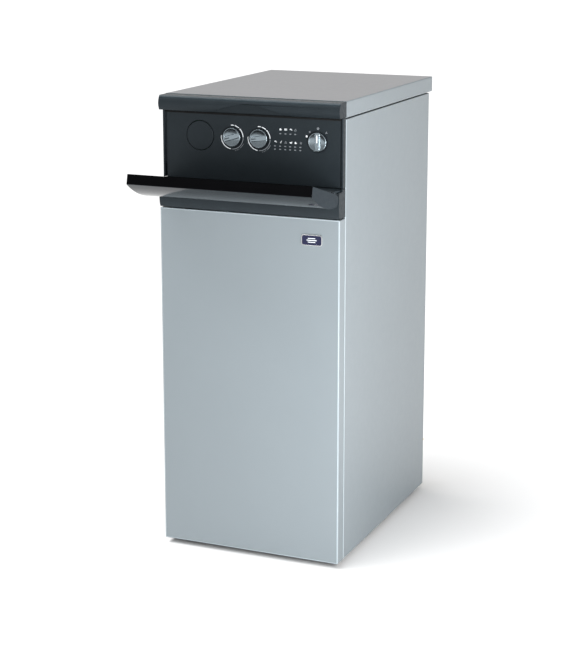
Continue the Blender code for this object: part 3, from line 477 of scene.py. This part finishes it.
def refined(node, radius=0.3 * MM, outer=0.0, material=None, angle=35):
    """The node's own shape with rounded edges; a larger radius round its outline if it is asked for."""
    bm = cleaned(node)
    if outer:
        bevel(bm, outline_edges(bm, *box_of(node)), outer, 3)
    bevel(bm, [edge for edge in sharp_edges(bm) if edge.calc_length() > 2.2 * radius], radius)
    finish = material or FINISHES[SLOT_OF_NODE[node]]
    made = piece_of(node + "_finish", bm, finish, node, angle, replaces=True)
    weighting = made.modifiers.new("weighting", "WEIGHTED_NORMAL")
    weighting.keep_sharp = True
    return made


def block(bm, middle, size):
    matrix = Matrix.Translation(middle) @ Matrix.Diagonal((*size, 1))
    bmesh.ops.create_cube(bm, size=1.0, matrix=matrix)


def in_mm(*points):
    return [(first * MM, second * MM) for first, second in points]


def turned(bm, profile, start, facing, steps=40):
    """Adds a turned form; profile is a list of (radius, distance along facing) points."""
    facing = Vector(facing).normalized()
    across = facing.orthogonal().normalized()
    beside = facing.cross(across)
    angles = [math.tau * i / steps for i in range(steps)]
    spokes = [across * math.cos(angle) + beside * math.sin(angle) for angle in angles]
    loops = []
    for radius, along in profile:
        middle = Vector(start) + facing * along
        if radius < 0.001 * MM:
            loops.append([bm.verts.new(middle)] * steps)
        else:
            loops.append([bm.verts.new(middle + spoke * radius) for spoke in spokes])
    for first, second in zip(loops, loops[1:]):
        for i in range(steps):
            j = (i + 1) % steps
            corners = list(dict.fromkeys((first[i], first[j], second[j], second[i])))
            if len(corners) > 2:
                bm.faces.new(corners)


# ---- stage, camera and light ------------------------------------------------------------------
FLOOR_REACH = 30


def stage():
    bm = bmesh.new()
    bmesh.ops.create_grid(bm, x_segments=8, y_segments=8, size=FLOOR_REACH)
    mesh = bpy.data.meshes.new("floor")
    bm.to_mesh(mesh)
    bm.free()
    finish = Finish("floor", 0.9, Specular_IOR_Level=0.0)
    light, dark = colour(241, 241, 241), colour(239, 239, 239)
    finish.tint(finish.ramp(finish.noise(4.0), (0.3, dark), (0.7, light)))
    mesh.materials.append(finish.material)
    floor = bpy.data.objects.new("floor", mesh)
    PIECES.objects.link(floor)


def softbox(name, place, target, size, power):
    light = bpy.data.lights.new(name, "AREA")
    light.shape = "RECTANGLE"
    light.size, light.size_y = size
    light.energy = power
    made = bpy.data.objects.new(name, light)
    made.location = place
    made.rotation_euler = (Vector(target) - Vector(place)).to_track_quat("-Z", "Y").to_euler()
    made.visible_camera = False
    PIECES.objects.link(made)


def lights():
    world = bpy.data.worlds.new("studio")
    world.use_nodes = True
    background = world.node_tree.nodes["Background"]
    background.inputs["Color"].default_value = (1.0, 1.0, 1.0, 1.0)
    background.inputs["Strength"].default_value = 0.46
    bpy.context.scene.world = world
    sun = bpy.data.lights.new("overhead", "SUN")
    sun.energy = 2.9
    sun.angle = math.radians(46)
    made = bpy.data.objects.new("overhead", sun)
    made.rotation_euler = Vector((0.36, 0.16, -1.0)).to_track_quat("-Z", "Y").to_euler()
    PIECES.objects.link(made)
    softbox("key", place=(0.95, -1.05, 0.38), target=(0.17, -0.23, 0.4), size=(0.3, 1.3), power=27)


def camera():
    """Stands to the right of the boiler, a little over it, and looks down at it."""
    data = bpy.data.cameras.new("camera")
    data.lens = 92.37
    data.sensor_width = 36
    data.shift_x = -0.007
    data.shift_y = -0.1
    data.clip_end = 200
    made = bpy.data.objects.new("camera", data)
    made.location = (1.2279, -2.9324, 1.1853)
    made.rotation_euler = (math.radians(90 - 12.04), 0, math.radians(23.05))
    PIECES.objects.link(made)
    bpy.context.scene.camera = made


# ---- knobs ------------------------------------------------------------------------------------
def knob_depth(x, z, radius, tilt, grooved):
    """How far the front of a knob lies behind its foremost point, at (x, z) from its axis."""
    bar_half, bar_side = 3.9 * MM, 0.9 * MM
    dish_depth, dish_radius = 3.1 * MM, radius - 1.6 * MM
    crown, rim = 0.5 * MM, 1.1 * MM
    groove_depth, groove_half = 0.35 * MM, 0.8 * MM
    groove_start, groove_end = 4.5 * MM, 14.5 * MM
    along = x * math.cos(tilt) + z * math.sin(tilt)
    across = -x * math.sin(tilt) + z * math.cos(tilt)
    reach = math.hypot(x, z)
    sunk = crown * (reach / radius) ** 2
    wall = min(1.0, max(0.0, (abs(across) - bar_half) / bar_side))
    dish = max(0.0, 1 - (reach / dish_radius) ** 2)
    sunk += dish_depth * wall * wall * (3 - 2 * wall) * dish**0.8
    if grooved and groove_start < -along < groove_end:
        sunk += groove_depth * max(0.0, 1 - (across / groove_half) ** 2)
    if reach > radius - rim:
        share = min(1.0, (reach - radius + rim) / rim)
        sunk += rim * (1 - math.sqrt(max(0.0, 1 - share * share)))
    return sunk


def knob_ring(bm, middle, reach, y_at):
    """A ring of points round a knob's axis; y_at gives the y of the point at (x, z) from it."""
    ring = []
    for i in range(KNOB_STEPS):
        angle = math.tau * i / KNOB_STEPS
        x, z = reach * math.cos(angle), reach * math.sin(angle)
        ring.append(bm.verts.new((middle.x + x, y_at(x, z), middle.z + z)))
    return ring


def knob(node):
    """A silver knob: two dished finger hollows leave a bar across it, grooved at one end."""
    low, high = box_of(node)
    middle = (low + high) / 2
    radius = (high.x - low.x) / 2
    back, chamfer = FACE_Y + 1.3 * MM, 0.4 * MM
    tilt = math.radians(KNOB_TILT[node])

    def front_at(x, z):
        return low.y + knob_depth(x, z, radius, tilt, node != "mode_knob")

    bm = bmesh.new()
    centre = bm.verts.new((middle.x, front_at(0, 0), middle.z))
    loops = []
    for i in range(1, KNOB_RINGS + 1):
        loops.append(knob_ring(bm, middle, radius * (i / KNOB_RINGS) ** 0.85, front_at))
    skirt = (
        (back - chamfer, radius),
        (back, radius - chamfer),
        (back, SHAFT),
        (back + 2 * chamfer, SHAFT),
    )
    for y, reach in skirt:
        loops.append(knob_ring(bm, middle, reach, lambda x, z, y=y: y))
    for i in range(KNOB_STEPS):
        j = (i + 1) % KNOB_STEPS
        bm.faces.new((centre, loops[0][i], loops[0][j]))
        for inner, outer in zip(loops, loops[1:]):
            bm.faces.new((inner[i], outer[i], outer[j], inner[j]))
    bm.faces.new(loops[-1])
    piece_of(node + "_finish", bm, FINISHES["knob_silver"], node, angle=50, replaces=True)


def mode_pointer():
    """The white pointer along the upper half of the mode knob's bar."""
    middle, front = middle_of("mode_knob"), box_of("mode_knob")[0].y
    side = in_mm((0.9, -1.5), (1.25, 9.0))
    points = [(-x, z) for x, z in side] + in_mm((0, 13.6)) + side[::-1]
    shapes = Shapes(front + 0.1 * MM, 0.25 * MM)
    shapes.outline([(middle.x + x, middle.z + z) for x, z in points])
    piece_of("mode_pointer", shapes.bm, WHITE_INK, "mode_knob")


# ---- printing on the fascia -------------------------------------------------------------------
class Shapes:
    """Thin flat shapes that stand up from a face looking along -Y; outlines are (x, z) points."""

    def __init__(self, face, height=INK):
        self.bm = bmesh.new()
        self.front = face - height
        self.back = face + height

    def outline(self, points):
        fronts = [self.bm.verts.new((x, self.front, z)) for x, z in points]
        backs = [self.bm.verts.new((x, self.back, z)) for x, z in points]
        self.bm.faces.new(fronts)
        self.bm.faces.new(backs[::-1])
        for i in range(len(points)):
            j = (i + 1) % len(points)
            self.bm.faces.new((fronts[i], backs[i], backs[j], fronts[j]))

    def bar(self, x, z, width, height, tilt=0.0):
        turn = Matrix.Rotation(math.radians(tilt), 2)
        corners = ((-1, -1), (1, -1), (1, 1), (-1, 1))
        offsets = [turn @ Vector((a * width / 2, b * height / 2)) for a, b in corners]
        self.outline([(x + offset.x, z + offset.y) for offset in offsets])

    def dot(self, x, z, radius, squash=1.0, steps=20):
        angles = [math.tau * i / steps for i in range(steps)]
        self.outline([(x + radius * math.cos(a), z + radius * squash * math.sin(a)) for a in angles])

    def arc(self, x, z, inner, outer, start, end):
        """A band between two radii, from start to end in degrees clockwise from the top."""
        steps = max(2, round(abs(end - start) / 3))
        angles = [math.radians(start + (end - start) * i / steps) for i in range(steps + 1)]
        far = [(x + outer * math.sin(a), z + outer * math.cos(a)) for a in angles]
        near = [(x + inner * math.sin(a), z + inner * math.cos(a)) for a in reversed(angles)]
        self.outline(far + near)

    def ring(self, x, z, inner, outer):
        self.arc(x, z, inner, outer, 0, 179)
        self.arc(x, z, inner, outer, 181, 359)

    def drop(self, x, z, radius, lean=0.0, steps=24):
        """A drop that narrows upwards and may lean to one side."""
        points = []
        for i in range(steps):
            angle = math.tau * i / steps
            rise = -math.cos(angle)
            width = radius * math.sin(angle) * (1 - 0.45 * rise)
            points.append((x + width + lean * max(0.0, rise) ** 2, z + 1.5 * radius * rise))
        self.outline(points[::-1])


def flame_sign(shapes, x, z, size):
    shapes.drop(x - 0.12 * size, z, 0.34 * size, 0.15 * size)
    shapes.drop(x + 0.42 * size, z - 0.2 * size, 0.16 * size)


def radiator_sign(shapes, x, z, size):
    for i in range(4):
        shapes.bar(x + (i - 1.5) * 0.34 * size, z, 0.2 * size, 0.9 * size)
    shapes.bar(x, z + 0.2 * size, 1.3 * size, 0.12 * size)


def tap_sign(shapes, x, z, size):
    shapes.bar(x - 0.1 * size, z + 0.15 * size, 1.0 * size, 0.3 * size)
    shapes.bar(x + 0.35 * size, z - 0.1 * size, 0.26 * size, 0.5 * size)
    shapes.bar(x - 0.15 * size, z + 0.42 * size, 0.5 * size, 0.14 * size)


def triangle_sign(shapes, x, z, size):
    shapes.bar(x, z - 0.42 * size, 1.1 * size, 0.14 * size)
    shapes.bar(x - 0.27 * size, z + 0.03 * size, 1.05 * size, 0.13 * size, 60)
    shapes.bar(x + 0.27 * size, z + 0.03 * size, 1.05 * size, 0.13 * size, -60)


def gauge_sign(shapes, x, z, size):
    shapes.dot(x - 0.1 * size, z - 0.25 * size, 0.25 * size)
    shapes.bar(x + 0.15 * size, z + 0.12 * size, 0.22 * size, 0.95 * size, -35)


def bath_sign(shapes, x, z, size):
    shapes.arc(x, z + 0.15 * size, 0.0, 0.6 * size, 92, 268)
    shapes.bar(x + 0.5 * size, z + 0.3 * size, 0.14 * size, 0.5 * size)


def sun_sign(shapes, x, z, size, rays=8):
    shapes.dot(x, z, 0.24 * size)
    reach = 0.48 * size
    for i in range(rays):
        angle = math.tau * i / rays
        place = (x + reach * math.sin(angle), z + reach * math.cos(angle))
        shapes.bar(*place, 0.1 * size, 0.22 * size, -math.degrees(angle))


def scale(x, bright, dim):
    """The broken ring of a scale round a knob, with a fainter one beside its lower right part."""
    for start, end in ((-6, 9), (14, 38), (43, 88), (188, 276)):
        bright.arc(x, DIAL_Z, 20.6 * MM, 22.1 * MM, start, end)
    dim.arc(x, DIAL_Z, 21.0 * MM, 21.9 * MM, 92, 182)
    dim.arc(x, DIAL_Z, 24.2 * MM, 24.8 * MM, 116, 140)
    for angle in (148, 156, 164):
        dim.arc(x, DIAL_Z, 24.0 * MM, 25.0 * MM, angle - 1.6, angle + 1.6)


# Signs and lamps in rows: each row's height over the knobs' axes, and places across, in millimetres.
SIGN_ROWS = (
    (18.8, ((flame_sign, 55.2), (radiator_sign, 65.1), (tap_sign, 75.2), (triangle_sign, 83.5))),
    (-3.8, ((tap_sign, 45.7), (gauge_sign, 55.8), (triangle_sign, 65.1))),
    (-3.8, ((bath_sign, 75.0), (flame_sign, 83.9), (sun_sign, 94.1))),
)
LAMP_COLUMNS = (44.5, 54.4, 64.2, 73.4, 83.1, 92.9)
LAMP_ROWS = ((11.0, (54.8, 64.6, 74.0, 83.3)), (-11.2, LAMP_COLUMNS), (-16.8, LAMP_COLUMNS))


def printing():
    bright, dim = Shapes(FACE_Y), Shapes(FACE_Y)
    for x in SCALE_X:
        scale(x, bright, dim)
    for height, signs in SIGN_ROWS:
        for sign, x in signs:
            shapes = dim if sign in (triangle_sign, sun_sign) else bright
            sign(shapes, x * MM, DIAL_Z + height * MM, 4.0 * MM)
    bright.dot(MODE_X - 21.0 * MM, DIAL_Z + 8.9 * MM, 1.7 * MM, 1.1)
    sun_sign(dim, MODE_X - 15.3 * MM, DIAL_Z + 16.8 * MM, 3.6 * MM)
    dim.ring(MODE_X + 0.4 * MM, DIAL_Z + 23.4 * MM, 1.1 * MM, 2.1 * MM)
    triangle_sign(dim, MODE_X + 16.0 * MM, DIAL_Z + 17.2 * MM, 3.4 * MM)
    piece_of("white_printing", bright.bm, WHITE_INK, "fascia")
    piece_of("grey_printing", dim.bm, GREY_INK, "fascia")

    lamps = Shapes(FACE_Y, 0.25 * MM)
    for height, columns in LAMP_ROWS:
        for x in columns:
            lamps.dot(x * MM, DIAL_Z + height * MM, 1.9 * MM, 0.46)
    piece_of("lamp_windows", lamps.bm, LAMP, "fascia")


# ---- badge ------------------------------------------------------------------------------------
def rounded_outline(x, z, width, height, radius, steps=8):
    points = []
    for across, up, start in ((1, 1, 0), (1, -1, 90), (-1, -1, 180), (-1, 1, 270)):
        centre_x = x + across * (width / 2 - radius)
        centre_z = z + up * (height / 2 - radius)
        for i in range(steps + 1):
            angle = math.radians(start + 90 * i / steps)
            points.append((centre_x + radius * math.sin(angle), centre_z + radius * math.cos(angle)))
    return points


def badge():
    """A bright frame round an enamelled plate with three pale bars."""
    low, high = box_of("badge")
    middle, size = (low + high) / 2, high - low
    x, z = middle.x, middle.z
    corner, bar_pitch = 5.0 * MM, 3.4 * MM
    bm = bmesh.new()
    profile = (
        (0.0, high.y),
        (0.0, low.y + 0.5 * MM),
        (0.45 * MM, low.y),
        (1.3 * MM, low.y),
        (1.6 * MM, low.y + 0.35 * MM),
    )
    loops = []
    for inset, y in profile:
        outline = rounded_outline(x, z, size.x - 2 * inset, size.z - 2 * inset, corner - inset)
        loops.append([bm.verts.new((a, y, b)) for a, b in outline])
    count = len(loops[0])
    bm.faces.new(loops[0])
    for first, second in zip(loops, loops[1:]):
        for i in range(count):
            j = (i + 1) % count
            bm.faces.new((first[i], first[j], second[j], second[i]))
    bm.faces.new(loops[-1][::-1])
    piece_of("badge_frame", bm, CHROME, "badge", angle=25, replaces=True)
    plate = Shapes(low.y + 0.3 * MM, 0.12 * MM)
    inset = 1.65 * MM
    outline = rounded_outline(x, z, size.x - 2 * inset, size.z - 2 * inset, corner - 1.6 * MM)
    plate.outline(outline[::-1])
    piece_of("badge_plate", plate.bm, FINISHES["badge_enamel"], "badge")
    sign = Shapes(low.y + 0.16 * MM, 0.08 * MM)
    for step, length in ((-1, 14 * MM), (0, 19 * MM), (1, 14 * MM)):
        sign.bar(x, z + step * bar_pitch, length, 1.2 * MM)
    piece_of("badge_sign", sign.bm, WHITE_INK, "badge")


# ---- casing and control panel -----------------------------------------------------------------
def repaint(piece, material, chosen):
    """Gives another material to the faces that chosen(centre, normal) picks."""
    piece.data.materials.append(material)
    index = len(piece.data.materials) - 1
    for face in piece.data.polygons:
        if chosen(face.center, face.normal):
            face.material_index = index


def rounded_front(centre, normal):
    """The rounded edges of a panel's front, which get a lighter paint as a painted highlight."""
    return centre.y < EDGES_Y and normal.y < -0.1 and max(abs(value) for value in normal) < 0.995


def casing():
    for node, outer in (("left_side_panel", 1.4), ("right_side_panel", 1.4), ("front_panel", 1.8)):
        # The rounded front edges get the lighter paint, a painted highlight.
        repaint(refined(node, 0.25 * MM, outer * MM), CASING_PAINTED_HIGHLIGHT, rounded_front)
    cover = refined("top_cover", 0.25 * MM, 1.3 * MM, FINISHES["casing_paint"])
    # The top face gets the neutral cover_paint and the sides casing_paint: painted light standing in
    # for the light on the top.
    repaint(cover, FINISHES["cover_paint"], lambda centre, normal: normal.z > 0.9)
    refined("base_frame")
    refined("rear_panel")


def bar_shadow_strip():
    """A near-black strip across the gap between the fascia and the bar over it: a painted shadow under
    the bar.
    """
    low, high = box_of("fascia")
    depth, height, inset = 2.2 * MM, 3.4 * MM, 4.0 * MM
    bm = bmesh.new()
    middle = ((low.x + high.x) / 2, FACE_Y - 1.0 * MM, high.z - height)
    block(bm, middle, (high.x - low.x - 2 * inset, depth, height))
    bevel(bm, sharp_edges(bm), 0.6 * MM)
    piece_of("bar_shadow_strip", bm, PAINTED_SHADOW_BLACK, "fascia")


def smoked_cover():
    """The flip-down cover: grained end walls whose lighter colour is partly a painted reflection, and
    an inner side painted near black as painted shade.
    """
    flap = refined("flap", 0.5 * MM, angle=40)
    # End walls: real grain, and a lighter colour that is a painted reflection.
    repaint(flap, SMOKED_GRAIN_AND_PAINTED_REFLECTION, lambda centre, normal: abs(normal.x) > 0.9)
    wide = {tuple(face.center) for face in flap.data.polygons if face.area > 40 * MM * MM}

    def inside(centre, normal):
        return normal.z > 0.05 and abs(centre.x) < CHEEK_X and tuple(centre) in wide

    # The wide upward inner faces are painted near black: painted shade.
    repaint(flap, SMOKED_PAINTED_SHADE, inside)


def control_panel():
    # The bar's upward faces get the glossier plastic whose lighter colour is a painted highlight.
    repaint(refined("top_bar", 0.4 * MM), BAR_TOP_PAINTED_HIGHLIGHT, lambda centre, normal: normal.z > 0.4)
    refined("fascia", 0.35 * MM)
    bar_shadow_strip()
    refined("bottom_rail", 0.4 * MM)
    smoked_cover()
    refined("gauge_blanking_disc", 0.25 * MM)
    for node in KNOB_TILT:
        knob(node)
    mode_pointer()
    printing()


# ---- fastenings and fittings ------------------------------------------------------------------
def screw(bm, start, facing, radius):
    """A pan-head screw over a washer, with a recess; profiles are in units of its head's radius."""
    washer, head = 0.28, 0.62
    outside = (
        (0, 0.05),
        (1.75, 0.05),
        (1.8, 0.2),
        (1.7, washer),
        (1, washer),
        (1, washer + 0.5 * head),
        (0.8, washer + 0.9 * head),
        (0.45, washer + head),
    )
    recess = ((0.45, washer + head), (0.42, washer + 0.4 * head), (0, washer + 0.4 * head))
    for profile in (outside, recess):
        turned(bm, [(a * radius, b * radius) for a, b in profile], start, facing, 24)


def screws(name, node, columns, face, rows, facing, radius):
    """Screws at every crossing of the columns (x) and rows (z) on one face (y) of a node."""
    bm = bmesh.new()
    for x in columns:
        for z in rows:
            screw(bm, (x, face, z), facing, radius)
    bmesh.ops.remove_doubles(bm, verts=bm.verts, dist=0.002 * MM)
    piece_of(name, bm, ZINC, node, angle=40)


def fastenings():
    low, high = box_of("rear_panel")
    inset = 10.5 * MM
    columns = (low.x + inset, high.x - inset)
    rows = [height * MM for height in (75, 250, 430, 600, 790)]
    screws("rear_panel_screws", "rear_panel", columns, high.y, rows, BACKWARD, 3.6 * MM)

    low, high = box_of("burner_front_plate")
    inset, rim = 8 * MM, 3.5 * MM
    columns, rows = (low.x + inset, high.x - inset), (low.z + inset, high.z - inset)
    screws("burner_plate_screws", "burner_front_plate", columns, low.y + rim, rows, FORWARD, 3.2 * MM)

    low, high = box_of("gas_valve")
    inset = 6 * MM
    columns, rows = (low.x + inset, high.x - 14 * MM), (low.z + inset, high.z - inset)
    screws("gas_valve_screws", "gas_valve", columns, low.y + rim, rows, FORWARD, 2.6 * MM)


def threaded_end(node, radius, bore, pitch):
    """A pipe cut with a thread over its last stretch, as a stack of rounded ridges."""
    middle, end = middle_of(node), box_of(node)[1].y
    length, root, chamfer = 22 * MM, radius - 0.45 * pitch, 0.4 * MM
    crest, lining = radius + 0.05 * MM, bore - 0.05 * MM
    profile = [(radius - 0.6 * MM, -length - 0.2 * MM)]
    for i in range(int(length / pitch)):
        base = -length + pitch * i
        profile += [(root, base), (crest, base + 0.5 * pitch)]
    profile += [(root, -chamfer), (radius - 1.2 * MM, 0.0)]
    profile += [(bore + 0.3 * MM, 0.0), (lining, -chamfer), (lining, -length)]
    bm = bmesh.new()
    turned(bm, profile, (middle.x, end, middle.z), BACKWARD, 64)
    piece_of(node + "_thread", bm, FINISHES[SLOT_OF_NODE[node]], node, angle=60)


def quilted_jacket():
    """The foil-faced mat: the node's own form, its face crowned between lines of stitching."""
    node = "insulation_jacket"
    mesh_size, stitch_rise, stitch_run, stitch_start = 9 * MM, 58.3 * MM, 61.4 * MM, -2 * MM
    stitch_depth, edge_depth = 2.6 * MM, 1.0 * MM
    bm = cleaned(node)
    bmesh.ops.triangulate(bm, faces=[face for face in bm.faces if len(face.verts) > 4])
    for _ in range(7):
        long_edges = [edge for edge in bm.edges if edge.calc_length() > mesh_size]
        if not long_edges:
            break
        bmesh.ops.subdivide_edges(bm, edges=long_edges, cuts=1, use_grid_fill=False)
        bmesh.ops.triangulate(bm, faces=[face for face in bm.faces if len(face.verts) > 3])
    bm.normal_update()
    bottom = box_of(node)[0].z
    moves = []
    for vert in bm.verts:
        normal = vert.normal
        across = vert.co.y if abs(normal.x) > abs(normal.y) else vert.co.x
        crown = abs(math.sin(math.pi * (vert.co.z - bottom) / stitch_rise))
        crown *= abs(math.sin(math.pi * (across - stitch_start) / stitch_run))
        sunk = stitch_depth * (1 - crown**0.4)
        if max(abs(normal.x), abs(normal.y)) < 0.9:
            sunk = edge_depth
        moves.append((vert, normal * -sunk))
    for vert, move in moves:
        vert.co += move
    mat = piece_of(node + "_mat", bm, FINISHES["insulation"], node, angle=70, replaces=True)


def front_casting():
    """On the front section: bosses and plugs that close its two ports, and the ribs between them."""
    node = "section_front"
    face = box_of(node)[0].y
    boss = in_mm((36, -1), (36, 2), (32, 5), (0, 5))
    head = in_mm((24, 4), (24, 8), (22, 9), (0, 9))
    square = in_mm((11, 8), (11, 17), (10, 18), (0, 18))
    bosses, heads = bmesh.new(), bmesh.new()
    for pipe in ("flow_pipe", "return_pipe"):
        middle = middle_of(pipe)
        place = (middle.x, face, middle.z)
        turned(bosses, boss, place, FORWARD, 64)
        turned(heads, head, place, FORWARD, 64)
        turned(heads, square, place, FORWARD, 4)
    for x in (-78 * MM, 78 * MM):
        for z in (410 * MM, 478 * MM, 545 * MM):
            block(bosses, (x, face - 1.5 * MM, z), (76 * MM, 5 * MM, 9 * MM))
    bevel(bosses, sharp_edges(bosses, 60), 1.2 * MM, 3)
    piece_of("casting_bosses", bosses, FINISHES["cast_iron"], node)
    piece_of("casting_plugs", heads, BLACK_IRON, node)


def board_components():
    """What is soldered on the back of the circuit board, apart from the node's own blocks."""
    node = "circuit_board"
    back = box_of(node)[0].y + 1.6 * MM
    can = in_mm((0, 0), (3.2, 0), (3.2, 9.5), (2.6, 10), (0, 10))
    chip = (6 * MM, 2.2 * MM, 9 * MM)
    cans, chips = bmesh.new(), bmesh.new()
    for i in range(12):
        x, z = (-130 + 23.5 * i) * MM, (799 - 6 * (i % 2)) * MM
        turned(cans, can, (x, back, z), BACKWARD, 24)
    for i in range(9):
        block(chips, ((-132 + 11.5 * i) * MM, back + chip[1] / 2, 756 * MM), chip)
    piece_of("board_capacitors", cans, FINISHES["aluminium"], node)
    piece_of("board_chips", chips, FINISHES["black_plastic"], node)


def inner_parts():
    fastenings()
    for pipe in ("flow_pipe", "return_pipe"):
        threaded_end(pipe, 16.8 * MM, 13.6 * MM, 2.3 * MM)
    quilted_jacket()
    front_casting()
    board_components()
    for node in frame["nodes"]:
        if node not in FINISHED:
            refined(node, material=BURNER_STEEL if node.startswith("burner_bar") else None)


bpy.context.scene.view_settings.view_transform = "Standard"
stage()
camera()
lights()
casing()
badge()
control_panel()
inner_parts()
